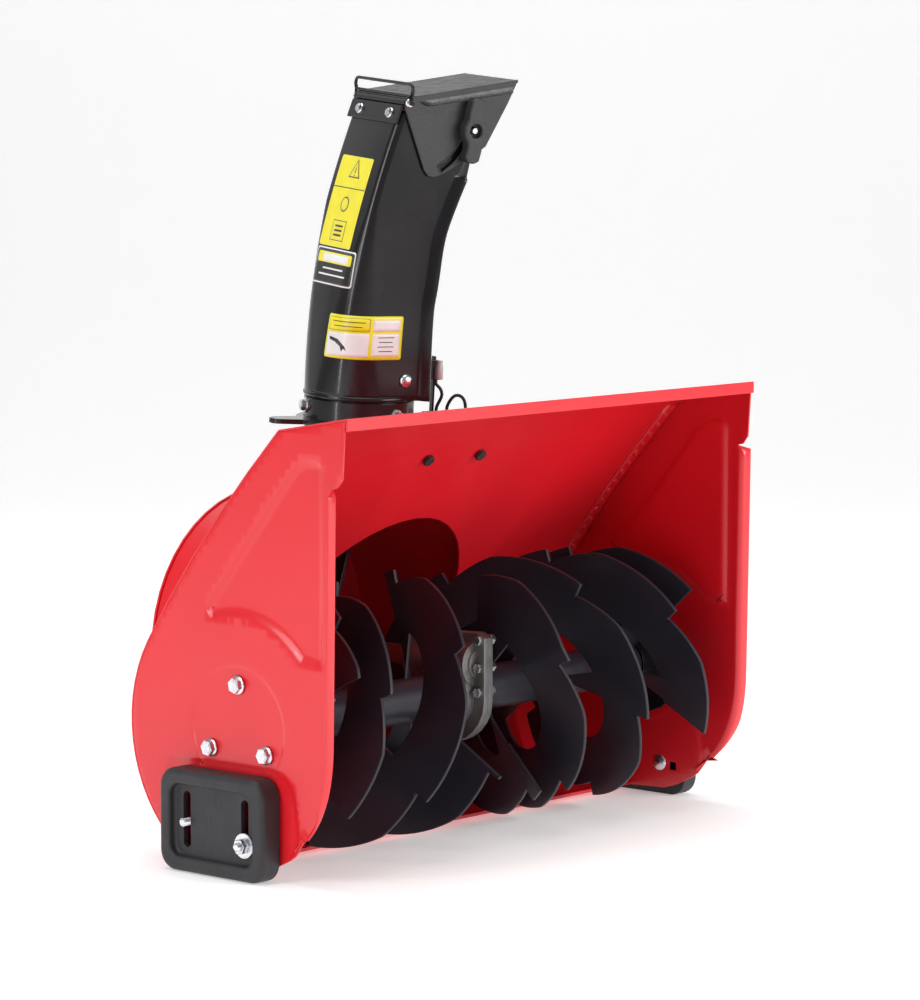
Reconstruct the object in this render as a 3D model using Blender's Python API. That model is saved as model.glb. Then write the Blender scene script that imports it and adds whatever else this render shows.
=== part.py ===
"""Two-stage snow blower attachment: red auger housing, toothed auger, impeller drum and turning chute.

Metres. X runs across the machine, -Y points out of the mouth, +Z is up, and the skid shoes stand on Z = 0.
Side profiles are written with y counted from the mouth, and MOUTH_Y moves them into the frame.
"""
import math

import bmesh
import bpy
from mathutils import Matrix
from mathutils import Vector

# Driving dimensions
WIDTH = 0.600
MOUTH_Y = -0.2159
SHEET = 0.002
GAP = 0.0003
HOUSING_RADIUS = 0.142
HOUSING_CENTRE = (0.134, 0.133)
BELLY_START = 33.0
ROOF_BACK = (0.080, 0.4195)
SLANT_CONTROL = (0.1854, 0.3141)
ROOF_FRONT = (-0.004, 0.4340)
LIP_HEIGHT = 0.0115
AUGER_Y = 0.1335
AUGER_Z = 0.1375
TIP_RADIUS = 0.1275
ROOT_RADIUS = 0.1140
RIBBON_INNER = 0.068
RIBBON_THICK = 0.004
RIBBON_PITCH = 0.240
TOOTH_DEGREES = 68.4
TUBE_RADIUS = 0.022
SHAFT_RADIUS = 0.0125
WORM_DISTANCE = 0.032
WORM_MODULE = 0.0022
WORM_STARTS = 2
WHEEL_TEETH = 20
DRUM_RADIUS = 0.1525
DRUM_BACK = 0.3960
OPENING_RADIUS = 0.1370
IMPELLER_RADIUS = 0.145
CHUTE_Y = 0.2578
CHUTE_Z = 0.4260
CHUTE_LEAN = 4.0
CHUTE_YAW = -18.0
CHUTE_RADIUS = 0.0535
CHUTE_TOP_HALF = 0.0490
FLARE_TOP = 0.2195
DEFLECTOR_RISE = 9.0
HINGE_X = 0.0110
HINGE_Z = 0.2920
SLOT_RADIUS = 0.074
SKID_THICK = 0.023
SKID_Y = 0.1485
SKID_LENGTH = 0.136
SKID_HEIGHT = 0.097
SKID_BOLTS = ((0.1107, 0.0330), (0.1863, 0.0465))

SIDE_X = WIDTH / 2
AUGER_AXIS = (0.0, MOUTH_Y + AUGER_Y, AUGER_Z)
IMPELLER_Z = AUGER_Z + WORM_DISTANCE
IMPELLER_AXIS = (0.0, MOUTH_Y + AUGER_Y, IMPELLER_Z)

PAINTS = {
    "red_paint": ((0.72, 0.014, 0.022, 1), 0.28, 0.0),
    "black_paint": ((0.012, 0.011, 0.013, 1), 0.22, 0.0),
    "auger_paint": ((0.014, 0.014, 0.020, 1), 0.35, 0.0),
    "black_plastic": ((0.020, 0.020, 0.022, 1), 0.5, 0.0),
    "skid_plastic": ((0.035, 0.035, 0.038, 1), 0.55, 0.0),
    "zinc": ((0.62, 0.63, 0.66, 1), 0.28, 1.0),
    "steel": ((0.42, 0.42, 0.43, 1), 0.38, 1.0),
    "cast_aluminium": ((0.46, 0.45, 0.44, 1), 0.5, 0.9),
    "bronze": ((0.45, 0.29, 0.12, 1), 0.4, 1.0),
    "cable_black": ((0.015, 0.015, 0.016, 1), 0.6, 0.0),
}


def clear_scene():
    for thing in list(bpy.data.objects):
        bpy.data.objects.remove(thing)


def paint(name):
    material = bpy.data.materials.get(name)
    if material:
        return material
    colour, roughness, metallic = PAINTS[name]
    material = bpy.data.materials.new(name)
    material.use_nodes = True
    shader = material.node_tree.nodes["Principled BSDF"]
    shader.inputs["Base Color"].default_value = colour
    shader.inputs["Roughness"].default_value = roughness
    shader.inputs["Metallic"].default_value = metallic
    return material


def empty(name, location, parent=None, rotation=(0.0, 0.0, 0.0)):
    thing = bpy.data.objects.new(name, None)
    thing.location = location
    thing.rotation_euler = rotation
    thing.parent = parent
    bpy.context.collection.objects.link(thing)
    return thing


def solid(name, bm, material, parent=None):
    """Turns a bmesh into a named object with outward faces."""
    bmesh.ops.recalc_face_normals(bm, faces=bm.faces)
    mesh = bpy.data.meshes.new(name)
    bm.to_mesh(mesh)
    bm.free()
    mesh.materials.append(paint(material))
    mesh.shade_smooth()
    mesh.set_sharp_from_angle(angle=math.radians(32))
    thing = bpy.data.objects.new(name, mesh)
    thing.parent = parent
    bpy.context.collection.objects.link(thing)
    return thing


def helper(name, bm, parent=None):
    """A cutter or an added shape, left out of the build."""
    thing = solid(name, bm, "steel", parent)
    thing.hide_render = True
    thing.display_type = "WIRE"
    return thing


def boolean(target, tool, operation="DIFFERENCE"):
    modifier = target.modifiers.new(tool.name, "BOOLEAN")
    modifier.operation = operation
    modifier.solver = "EXACT"
    modifier.object = tool


def cut(target, name, bm, parent=None):
    boolean(target, helper(name, bm, parent))


def add(target, name, bm, parent=None):
    boolean(target, helper(name, bm, parent), "UNION")


def placed(a, b, t, axis):
    """A profile point (a, b) at distance t along the axis."""
    return {"X": (t, a, b), "Y": (a, t, b), "Z": (a, b, t)}[axis]


def prism(outline, low, high, axis):
    """Extrudes a closed outline along an axis."""
    bm = bmesh.new()
    first = [bm.verts.new(placed(a, b, low, axis)) for a, b in outline]
    last = [bm.verts.new(placed(a, b, high, axis)) for a, b in outline]
    bm.faces.new(first)
    bm.faces.new(last[::-1])
    count = len(outline)
    for i in range(count):
        j = (i + 1) % count
        bm.faces.new((first[i], last[i], last[j], first[j]))
    return bm


def turned(profile, axis, centre=(0.0, 0.0), steps=32, start=0.0):
    """Spins (radius, distance) points round an axis. Radius 0 at both ends closes it, otherwise it is a ring."""
    bm = bmesh.new()
    ring = profile[0][0] > 0
    rows = []
    for radius, t in profile:
        if radius == 0:
            rows.append([bm.verts.new(placed(centre[0], centre[1], t, axis))] * steps)
            continue
        row = []
        for i in range(steps):
            angle = start + 2 * math.pi * i / steps
            a = centre[0] + radius * math.cos(angle)
            b = centre[1] + radius * math.sin(angle)
            row.append(bm.verts.new(placed(a, b, t, axis)))
        rows.append(row)
    pairs = list(zip(rows, rows[1:]))
    if ring:
        pairs.append((rows[-1], rows[0]))
    for one, two in pairs:
        for i in range(steps):
            j = (i + 1) % steps
            corners = []
            for vert in (one[i], one[j], two[j], two[i]):
                if vert not in corners:
                    corners.append(vert)
            if len(corners) > 2:
                bm.faces.new(corners)
    return bm


def rod(radius, low, high, axis, centre=(0.0, 0.0), steps=24, start=0.0):
    profile = [(0, low), (radius, low), (radius, high), (0, high)]
    return turned(profile, axis, centre, steps, start)


def pipe(outer, inner, low, high, axis, centre=(0.0, 0.0), steps=32):
    profile = [(outer, low), (outer, high), (inner, high), (inner, low)]
    return turned(profile, axis, centre, steps)


def moved(bm, matrix):
    bmesh.ops.transform(bm, matrix=matrix, verts=bm.verts)
    return bm


def merged(*parts):
    """Puts closed shapes that don't touch into one bmesh, for a cutter with several teeth."""
    whole = bmesh.new()
    for part in parts:
        mesh = bpy.data.meshes.new("part")
        part.to_mesh(mesh)
        part.free()
        whole.from_mesh(mesh)
        bpy.data.meshes.remove(mesh)
    return whole


def box(low, high):
    outline = [(low[0], low[1]), (high[0], low[1]), (high[0], high[1]), (low[0], high[1])]
    return prism(outline, low[2], high[2], "Z")


def arc(centre, radius, start, end, steps):
    """Points along an arc, in degrees."""
    points = []
    for i in range(steps + 1):
        angle = math.radians(start + (end - start) * i / steps)
        points.append((centre[0] + radius * math.cos(angle), centre[1] + radius * math.sin(angle)))
    return points


def rounded(width, height, radius, steps=5):
    """A rounded rectangle round the origin."""
    points = []
    for cx, cy, start in ((1, 1, 0), (-1, 1, 90), (-1, -1, 180), (1, -1, 270)):
        corner = (cx * (width / 2 - radius), cy * (height / 2 - radius))
        points += arc(corner, radius, start, start + 90, steps)
    return points


def shifted(outline, a, b):
    return [(x + a, y + b) for x, y in outline]


def bezier(points, steps):
    """Points on one cubic curve."""
    found = []
    for i in range(steps + 1):
        t = i / steps
        weights = ((1 - t) ** 3, 3 * t * (1 - t) ** 2, 3 * t * t * (1 - t), t ** 3)
        found.append(tuple(sum(w * p[k] for w, p in zip(weights, points)) for k in (0, 1)))
    return found


def world_y(outline):
    """Side profile points with y counted from the mouth, in the frame."""
    return shifted(outline, MOUTH_Y, 0.0)


# Housing


def wrap_path(inset):
    """The back of the housing in side view: roof, bowed slanted back and round belly, moved in by inset."""
    corner = (ROOF_BACK[0] - 0.483 * inset, ROOF_BACK[1] - 0.931 * inset)
    control = (SLANT_CONTROL[0] - 0.782 * inset, SLANT_CONTROL[1] - 0.633 * inset)
    front = (ROOF_FRONT[0], ROOF_FRONT[1] - inset)
    belly = arc(HOUSING_CENTRE, HOUSING_RADIUS - inset, BELLY_START, -62, 16)
    slant = [slant_point(corner, control, belly[0], t) for t in (0.2, 0.4, 0.6, 0.8)]
    return [front, corner] + slant + belly


def slant_point(start, control, end, t):
    weights = ((1 - t) ** 2, 2 * t * (1 - t), t * t)
    return tuple(sum(w * q[k] for w, q in zip(weights, (start, control, end))) for k in (0, 1))


def back_sheet():
    """Lip, roof, slanted back and belly in one bent sheet, with the drum's opening."""
    outer = wrap_path(0.0)
    inner = wrap_path(SHEET)
    lip_y = ROOF_FRONT[0] - SHEET
    foot = ROOF_FRONT[1] - LIP_HEIGHT
    lip = [(ROOF_FRONT[0], foot), (lip_y, foot), (lip_y, ROOF_FRONT[1])]
    outline = inner[::-1] + lip + outer
    sheet = solid("housing_back_sheet", prism(world_y(outline), -SIDE_X, SIDE_X, "X"), "red_paint")
    opening = rod(OPENING_RADIUS, MOUTH_Y + 0.10, MOUTH_Y + 0.30, "Y", (0, IMPELLER_Z), 44)
    cut(sheet, "drum_opening", opening)
    for x in (-0.050, 0.026):
        name = f"sheet_bolt_hole_{'left' if x < 0 else 'right'}"
        cut(sheet, name, moved(rod(0.0038, -0.01, 0.01, "Z"), sheet_bolt_place(x)))


def sheet_bolt_place(x):
    """Where a bolt stands square to the slanted back, with its local +Z pointing into the mouth."""
    path = wrap_path(0.0)
    one, two = Vector(path[2]), Vector(path[3])
    middle = one.lerp(two, 0.08)
    slope = math.atan2(one.y - two.y, two.x - one.x)
    turn = Matrix.Rotation(math.pi - slope, 4, "X")
    return Matrix.Translation((x, MOUTH_Y + middle.x, middle.y)) @ turn


def sheet_bolts():
    """Two black bolts through the slanted back."""
    for x in (-0.050, 0.026):
        profile = [(0, -0.0040), (0.0034, -0.0040), (0.0034, 0.0027), (0.0062, 0.0027)]
        profile += [(0.0062, 0.0070), (0, 0.0070)]
        name = f"sheet_bolt_{'left' if x < 0 else 'right'}"
        solid(name, moved(turned(profile, "Z", steps=6), sheet_bolt_place(x)), "black_plastic")


def front_curve():
    """The flange's front face in side view: down the mouth and round its lower corner."""
    corner = bezier([(0.0100, 0.130), (0.0115, 0.092), (0.021, 0.066), (0.0410, 0.0440)], 7)
    return [(0.0062, 0.3672), (0.0080, 0.250)] + corner


def inward(path, i):
    """The direction square to a path at one of its points, into the plate."""
    before = Vector(path[max(i - 1, 0)])
    after = Vector(path[min(i + 1, len(path) - 1)])
    along = (after - before).normalized()
    return Vector((-along.y, along.x))


def plate_outline():
    """A side plate's flat face, which stops short of the flange's bend."""
    edge = wrap_path(SHEET + GAP)
    top_front = (-0.0035, edge[0][1])
    path = front_curve()
    bend = [tuple(Vector(path[i]) + inward(path, i) * 0.0068) for i in range(1, len(path))]
    bend = [(0.0130, 0.3690)] + bend + [(0.0472, 0.0472)]
    corner = [(0.0440, 0.0405), (0.0540, 0.0320), (0.0680, 0.0220), (0.0880, 0.0122), (0.1040, 0.0072)]
    notch = [(0.0060, 0.3700), (0.0, 0.3785)]
    return [top_front] + edge[1:] + [(0.150, 0.0055)] + corner[::-1] + bend[::-1] + notch


def front_flange():
    """The sheet's outward bend along the mouth, which runs out at the lower corner."""
    path = front_curve()
    bm = bmesh.new()
    rows = []
    for i, point in enumerate(path):
        normal = inward(path, i)
        left = min(1.0, 0.25 + 0.75 * (len(path) - 1 - i) / 4)
        row = []
        for x, depth in FLANGE_SECTION:
            spot = Vector(point) + normal * depth
            across = SIDE_X - SHEET + (x if depth > 0.0060 else x * left)
            row.append(bm.verts.new((across, MOUTH_Y + spot.x, spot.y)))
        rows.append(row)
    for one, two in zip(rows, rows[1:]):
        for i in range(len(one)):
            j = (i + 1) % len(one)
            bm.faces.new((one[i], one[j], two[j], two[i]))
    bm.faces.new(rows[0])
    bm.faces.new(rows[-1][::-1])
    return bm


FLANGE_SECTION = (
    (0.0005, 0.0090),
    (0.0003, 0.0064),
    (0.0, 0.0058),
    (0.0008, 0.0030),
    (0.0030, 0.0008),
    (0.0060, 0.0),
    (0.0140, 0.0),
    (0.0140, 0.0020),
    (0.0060, 0.0020),
    (0.0040, 0.0026),
    (0.0026, 0.0040),
    (0.0020, 0.0058),
    (0.0017, 0.0064),
    (0.0015, 0.0090),
)


def panel_outline(grow):
    """The pressed panel on a side plate, grown or shrunk by a distance."""
    near = 0.0255 - grow
    top = 0.3930 + grow
    shoulder = (0.0540 + grow * 0.4, top)
    tail = (0.1800 + grow * 1.5, 0.2440 - grow * 0.3)
    foot = arc((0.1335, 0.1375), 0.1070 - grow, 66, 145, 8)
    front = [(near, 0.2080 - grow), (near, top - 0.012), (near + 0.004, top - 0.003), (near + 0.013, top)]
    return front + [shoulder, tail] + foot


def strip(path, thick, low, high):
    """A flange: a strip that follows a path on its inner side."""
    inner = []
    for i, point in enumerate(path):
        before = Vector(path[max(i - 1, 0)])
        after = Vector(path[min(i + 1, len(path) - 1)])
        along = (after - before).normalized()
        inner.append((point[0] + along.y * thick, point[1] - along.x * thick))
    return prism(world_y(path + inner[::-1]), low, high, "X")


def side_plate(name, parent):
    """Flat face, pressed panel, inward flange along the back, outward flange along the front, and the holes."""
    inner_x = SIDE_X - SHEET
    plate = solid(f"side_plate_{name}", prism(world_y(plate_outline()), inner_x, SIDE_X, "X"), "red_paint", parent)
    weld_edge = wrap_path(SHEET + GAP)[2:]
    weld = strip(weld_edge[::-1], -SHEET, SIDE_X - 0.020, SIDE_X - SHEET / 2)
    add(plate, f"weld_flange_{name}", weld, parent)
    add(plate, f"front_flange_{name}", front_flange(), parent)
    press = prism(world_y(panel_outline(0.0)), SIDE_X - 0.0048, SIDE_X - 0.0010, "X")
    add(plate, f"panel_{name}", press, parent)
    hollow = prism(world_y(panel_outline(-0.0020)), SIDE_X - 0.0028, SIDE_X + 0.01, "X")
    cut(plate, f"panel_hollow_{name}", hollow, parent)
    through = (SIDE_X - 0.01, SIDE_X + 0.01)
    holes = [rod(0.0150, *through, "X", (AUGER_AXIS[1], AUGER_Z), 24)]
    holes += [rod(0.0043, *through, "X", spot, 12) for spot in end_bolt_places()]
    holes += [rod(0.0045, *through, "X", (MOUTH_Y + y, z), 12) for y, z in SKID_BOLTS]
    spare = (MOUTH_Y + SKID_BOLTS[0][0] - 0.0175, SKID_BOLTS[0][1] - 0.002)
    holes.append(prism(shifted(rounded(0.0085, 0.0085, 0.0006, 1), *spare), *through, "X"))
    cut(plate, f"plate_holes_{name}", merged(*holes), parent)


def scraper():
    """The wear bar under the mouth."""
    outline = [(0.1500, 0.0052), (0.1500, 0.0088), (0.1975, 0.0088), (0.1975, 0.0052)]
    reach = SIDE_X - SHEET - GAP
    solid("scraper_bar", prism(world_y(outline), -reach, reach, "X"), "red_paint")


def drum():
    """The impeller's drum: a round shell whose front edge follows the back sheet, and its rear wall."""
    back = MOUTH_Y + DRUM_BACK
    shell = pipe(DRUM_RADIUS, DRUM_RADIUS - SHEET, MOUTH_Y + 0.12, back, "Y", (0, IMPELLER_Z), 48)
    shell = solid("impeller_drum", shell, "red_paint")
    path = wrap_path(-GAP)
    outline = [(-0.05, 0.60), (ROOF_BACK[0], 0.60)] + path[1:] + [(0.15, -0.10), (-0.05, -0.10)]
    cut(shell, "housing_space", prism(world_y(outline), -0.2, 0.2, "X"))
    wall = pipe(DRUM_RADIUS + 0.0018, 0.0265, back + GAP, back + 0.0028, "Y", (0, IMPELLER_Z), 48)
    solid("drum_rear_wall", wall, "red_paint")
    bore = rod(CHUTE_RADIUS - SHEET, -0.25, 0.02, "Z", steps=32)
    cut(shell, "spout_hole", bore, bpy.data.objects["neck_axis"])


def quarter_turns(start):
    return [math.radians(start + 90 * i) for i in range(4)]


def neck(axis):
    """The spout from the drum up to the chute's ring."""
    tube = pipe(CHUTE_RADIUS, CHUTE_RADIUS - SHEET, -0.20, -0.0305, "Z", steps=32)
    spout = solid("chute_neck", tube, "red_paint", axis)
    space = rod(DRUM_RADIUS + GAP, MOUTH_Y + 0.05, MOUTH_Y + 0.6, "Y", (0, IMPELLER_Z), 48)
    cut(spout, "drum_space", space)


def ring_lobe(angle, reach, wide):
    """One ear of the support ring, as an outline in plan."""
    direction = Vector((math.cos(angle), math.sin(angle)))
    across = Vector((-direction.y, direction.x))
    centre = direction * (reach - wide)
    turn = math.degrees(angle)
    points = [direction * 0.040 - across * wide * 1.5, direction * 0.040 + across * wide * 1.5]
    outline = [tuple(points[0])] + arc(centre, wide, turn - 90, turn + 90, 6) + [tuple(points[1])]
    return outline


def support_ring(axis):
    """The fixed ring under the chute: an eared plate with a collar round the chute's spigot."""
    outer = CHUTE_RADIUS + 0.0090
    profile = [(outer, -0.0300), (outer, -0.0250), (CHUTE_RADIUS + 0.0015, -0.0250)]
    profile += [(CHUTE_RADIUS + 0.0015, -0.0036), (CHUTE_RADIUS - 0.0015, -0.0036)]
    profile += [(CHUTE_RADIUS - 0.0015, -0.0300)]
    ring = solid("chute_support_ring", turned(profile, "Z", steps=36), "black_paint", axis)
    for i, (angle, reach) in enumerate(((150, 0.092), (-20, 0.121), (68, 0.078))):
        ear = prism(ring_lobe(math.radians(angle), reach, 0.011), -0.0300, -0.0250, "Z")
        add(ring, f"ring_ear_{i}", ear, axis)
    cut(ring, "ring_bore", rod(CHUTE_RADIUS - 0.0015, -0.05, 0.02, "Z", steps=40), axis)


# Auger


def tooth_radius(angle, notch):
    """Outer radius of a ribbon at an angle: a step down at each notch, a short ramp, then the full radius."""
    past = (notch - angle) % TOOTH_DEGREES
    ramp = 24.0
    if past < ramp:
        return ROOT_RADIUS + (TIP_RADIUS - ROOT_RADIUS) * past / ramp
    return TIP_RADIUS


def ribbon_angles(start, end, notch, arms):
    """Every angle where a ribbon needs a point: an even grid, both sides of each notch, and the arms' sides."""
    found = {round(start - 9.0 * i, 3) for i in range(int((start - end) / 9.0) + 1)}
    found |= {end}
    first = math.ceil((end - notch) / TOOTH_DEGREES)
    last = math.floor((start - notch) / TOOTH_DEGREES)
    for n in range(first, last + 1):
        found |= {notch + n * TOOTH_DEGREES + 0.8, notch + n * TOOTH_DEGREES - 0.01}
    for arm in arms:
        found |= {arm + 11, arm + 10.5, arm - 10.5, arm - 11}
    kept = sorted((angle for angle in found if end <= angle <= start), reverse=True)
    spaced = [kept[0]]
    for angle in kept[1:]:
        if spaced[-1] - angle > 0.3:
            spaced.append(angle)
    spaced[-1] = end
    return spaced


def ribbon(side, number, line, first_x, last_x, notch, lead_in, first_arm):
    """One toothed ribbon with its arms, all in one helical sheet."""
    per_degree = RIBBON_PITCH / 360
    start = (line - first_x) / per_degree
    end = (line - last_x) / per_degree
    arms = [start + first_arm, (start + end) / 2, end + 14]
    bm = bmesh.new()
    rows = []
    for angle in ribbon_angles(start + lead_in, end, notch, arms):
        x = max(line - per_degree * angle, first_x)
        near_arm = min(abs(angle - arm) for arm in arms)
        inner = TUBE_RADIUS + GAP if near_arm < 10.8 else RIBBON_INNER
        outer = tooth_radius(angle, notch)
        turn = math.radians(angle)
        row = []
        for radius, step in ((inner, -0.5), (outer, -0.5), (outer, 0.5), (inner, 0.5)):
            y = -radius * math.cos(turn)
            z = radius * math.sin(turn)
            row.append(bm.verts.new((side * (x + step * RIBBON_THICK), y, z)))
        rows.append(row)
    for one, two in zip(rows, rows[1:]):
        for i in range(4):
            j = (i + 1) % 4
            bm.faces.new((one[i], one[j], two[j], two[i]))
    bm.faces.new(rows[0])
    bm.faces.new(rows[-1][::-1])
    hand = "left" if side < 0 else "right"
    return solid(f"auger_ribbon_{hand}_{number}", bm, "auger_paint", bpy.data.objects["auger_axis"])


RIBBONS = (
    (1, 1, 0.046, 0.0295, 0.258, 17.5, 60, 33),
    (1, 2, 0.143, 0.0295, 0.258, -15.0, 30, -14),
    (1, 3, 0.239, 0.0295, 0.258, 32.0, 0, -14),
    (-1, 1, 0.035, 0.055, 0.258, -32.0, 0, -14),
    (-1, 2, 0.127, 0.055, 0.258, 31.0, 0, -14),
    (-1, 3, 0.233, 0.055, 0.258, 16.0, 0, -14),
)


def auger(axis):
    """Shaft, worm wheel, two tubes with their ribbons, and a shear bolt for each tube."""
    solid("auger_shaft", rod(SHAFT_RADIUS, -0.2915, 0.2915, "X", steps=24), "steel", axis)
    shaft = bpy.data.objects["auger_shaft"]
    for side, hand in ((-1, "left"), (1, "right")):
        low, high = sorted((side * 0.0275, side * 0.2680))
        tube = pipe(TUBE_RADIUS, SHAFT_RADIUS + GAP, low, high, "X", steps=32)
        tube = solid(f"auger_tube_{hand}", tube, "auger_paint", axis)
        turn = Matrix.Rotation(math.radians(-45), 4, "X")
        place = Matrix.Translation((side * 0.196, 0, 0)) @ turn
        hole = moved(rod(0.0034, -0.05, 0.05, "Y", steps=12), place)
        tool = helper(f"shear_hole_{hand}", hole, axis)
        boolean(tube, tool)
        boolean(shaft, tool)
        bolt = [(0, -0.0290), (0.0058, -0.0290), (0.0058, -0.0245), (0.0030, -0.0245)]
        bolt += [(0.0030, 0.0245), (0.0058, 0.0245), (0.0058, 0.0300), (0, 0.0300)]
        solid(f"shear_bolt_{hand}", moved(turned(bolt, "Y", steps=6), place), "zinc", axis)
    for ribbon_facts in RIBBONS:
        ribbon(*ribbon_facts)


def worm_wheel(axis):
    """Bronze wheel whose slanted teeth mesh with the two-start worm above it."""
    pitch = WORM_MODULE * WHEEL_TEETH / 2
    lead_tangent = WORM_STARTS * WORM_MODULE / (2 * (WORM_DISTANCE - pitch))
    half = 0.007
    step = 2 * math.pi / WHEEL_TEETH
    bm = bmesh.new()
    rows = []
    for x in (-half, 0.0, half):
        twist = x * lead_tangent / pitch
        row = []
        for tooth in range(WHEEL_TEETH):
            middle = math.pi / 2 + step * (tooth + 0.5) + twist
            for radius, offset in ((-1.35, -0.36), (0.85, -0.14), (0.85, 0.14), (-1.35, 0.36)):
                angle = middle + offset * step
                reach = pitch + radius * WORM_MODULE
                row.append(bm.verts.new((x, reach * math.cos(angle), reach * math.sin(angle))))
        rows.append(row)
    for one, two in zip(rows, rows[1:]):
        for i in range(len(one)):
            j = (i + 1) % len(one)
            bm.faces.new((one[i], one[j], two[j], two[i]))
    bm.faces.new(rows[0])
    bm.faces.new(rows[-1])
    wheel = solid("worm_wheel", bm, "bronze", axis)
    cut(wheel, "wheel_bore", rod(SHAFT_RADIUS + GAP, -0.02, 0.02, "X", steps=24), axis)


# Gearbox


def case_outline():
    """The parting flange in side view, round the worm above and the wheel below, from the auger's axis."""
    worm = WORM_DISTANCE
    lower = arc((0, 0), 0.0475, 200, 340, 10)
    top = [(0.046, worm + 0.020), (0.040, worm + 0.028), (-0.036, worm + 0.031), (-0.0465, worm + 0.026)]
    return lower + top + [(-0.0465, -0.004)]


def gearbox(axis):
    """Two cast halves that part on the machine's middle plane, the right one a mirror image of the left."""
    mirror = empty("gearbox_mirror", (0, 0, 0), axis)
    mirror.scale = (-1.0, 1.0, 1.0)
    case_half("left", axis)
    case_half("right", mirror)
    for number, (y, z) in enumerate(CASE_BOLTS, 1):
        bolt = [(0, -0.0115), (0.0050, -0.0115), (0.0050, -0.0069), (0.0030, -0.0069)]
        bolt += [(0.0030, 0.0069), (0.0055, 0.0069), (0.0055, 0.0125), (0, 0.0125)]
        bolt = turned(bolt, "X", (y, z), 6)
        solid(f"case_bolt_{number}", bolt, "zinc", axis)


def case_half(hand, axis):
    worm_at = (0, WORM_DISTANCE)
    half_step = math.pi / 24
    case = solid(f"gearbox_case_{hand}", prism(case_outline(), -0.0066, 0.003, "X"), "cast_aluminium", axis)
    add(case, f"worm_body_{hand}", rod(0.0225, -0.0325, 0.0480, "Y", worm_at, 24, half_step), axis)
    add(case, f"front_boss_{hand}", rod(0.0150, -0.0350, -0.0100, "Y", worm_at, 24, half_step), axis)
    add(case, f"wheel_body_{hand}", rod(0.0335, -0.0215, -0.001, "X", steps=28), axis)
    add(case, f"hub_body_{hand}", rod(0.0200, -0.0262, -0.001, "X", steps=24), axis)
    cut(case, f"worm_room_{hand}", rod(0.0155, -0.0285, 0.0400, "Y", worm_at, 24, half_step), axis)
    cut(case, f"wheel_room_{hand}", rod(0.0262, -0.0105, 0.0105, "X", steps=28), axis)
    cut(case, f"shaft_bore_{hand}", rod(SHAFT_RADIUS + GAP, -0.05, 0.05, "X", steps=24), axis)
    cut(case, f"worm_bore_{hand}", rod(0.0103, -0.0320, 0.08, "Y", worm_at, 24, half_step), axis)
    cut(case, f"other_half_{hand}", box((-GAP / 2, -0.1, -0.1), (0.06, 0.1, 0.12)), axis)
    holes = [rod(0.0033, -0.05, 0.05, "X", spot, 10) for spot in CASE_BOLTS]
    cut(case, f"case_holes_{hand}", merged(*holes), axis)


CASE_BOLTS = ((-0.0405, 0.0560), (-0.0405, 0.0290), (-0.0405, 0.0050))


# Impeller


def thread_row(bm, phase, y, root, crest, half_root, half_crest):
    row = []
    for radius, step in ((root, -half_root), (crest, -half_crest), (crest, half_crest), (root, half_root)):
        row.append(bm.verts.new((radius * math.sin(phase), y + step, radius * math.cos(phase))))
    return row


def worm_thread(start):
    """One of the worm's helical threads, sunk a little into its core."""
    pitch = WORM_DISTANCE - WORM_MODULE * WHEEL_TEETH / 2
    lead = WORM_STARTS * math.pi * WORM_MODULE
    bm = bmesh.new()
    rows = []
    steps = 12
    turns = 1.0
    for i in range(-int(steps * turns), int(steps * turns) + 1):
        phase = math.pi + 2 * math.pi * i / steps
        y = lead * i / steps + start * lead / WORM_STARTS
        rows.append(thread_row(bm, phase, y, pitch - 0.0031, pitch + 0.0017, 0.0016, 0.0007))
    for one, two in zip(rows, rows[1:]):
        for i in range(4):
            j = (i + 1) % 4
            bm.faces.new((one[i], one[j], two[j], two[i]))
    bm.faces.new(rows[0])
    bm.faces.new(rows[-1][::-1])
    return bm


def impeller(axis):
    """Shaft with the worm at its front, the four-blade impeller and the rear driving dog."""
    rear = DRUM_BACK - AUGER_Y
    profile = [(0, -0.0315), (0.0098, -0.0315), (0.0098, -0.0225), (0.0072, -0.0205)]
    profile += [(0.0072, 0.0205), (0.0098, 0.0225), (0.0098, rear + 0.0400), (0, rear + 0.0400)]
    shaft = solid("impeller_shaft", turned(profile, "Y", steps=24), "steel", axis)
    for start in (0, 1):
        add(shaft, f"worm_thread_{start}", worm_thread(start), axis)
    low, high = rear - 0.0920, rear - 0.0090
    hub = pipe(0.0190, 0.0101, low + 0.010, high, "Y", steps=24)
    fan = solid("impeller", hub, "black_paint", axis)
    for number, angle in enumerate(quarter_turns(20)):
        blade = [(0.0150, -0.0020), (IMPELLER_RADIUS - 0.012, -0.0020), (IMPELLER_RADIUS, -0.0140)]
        blade += [(IMPELLER_RADIUS, -0.0100), (IMPELLER_RADIUS - 0.010, 0.0020), (0.0150, 0.0020)]
        turn = Matrix.Rotation(angle, 4, "Y")
        add(fan, f"blade_{number}", moved(prism(blade, low, high, "Y"), turn), axis)
    plate = pipe(0.1000, 0.0160, high - 0.003, high, "Y", steps=32)
    add(fan, "fan_plate", plate, axis)
    dog = pipe(0.0225, 0.0101, rear + 0.0240, rear + 0.0380, "Y", steps=24)
    dog = solid("input_coupling", dog, "steel", axis)
    slots = [box((-0.0045, rear + 0.0310, -0.03), (0.0045, rear + 0.06, -0.0125)),
             box((-0.0045, rear + 0.0310, 0.0125), (0.0045, rear + 0.06, 0.03))]
    cut(dog, "coupling_slots", merged(*slots), axis)


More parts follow.
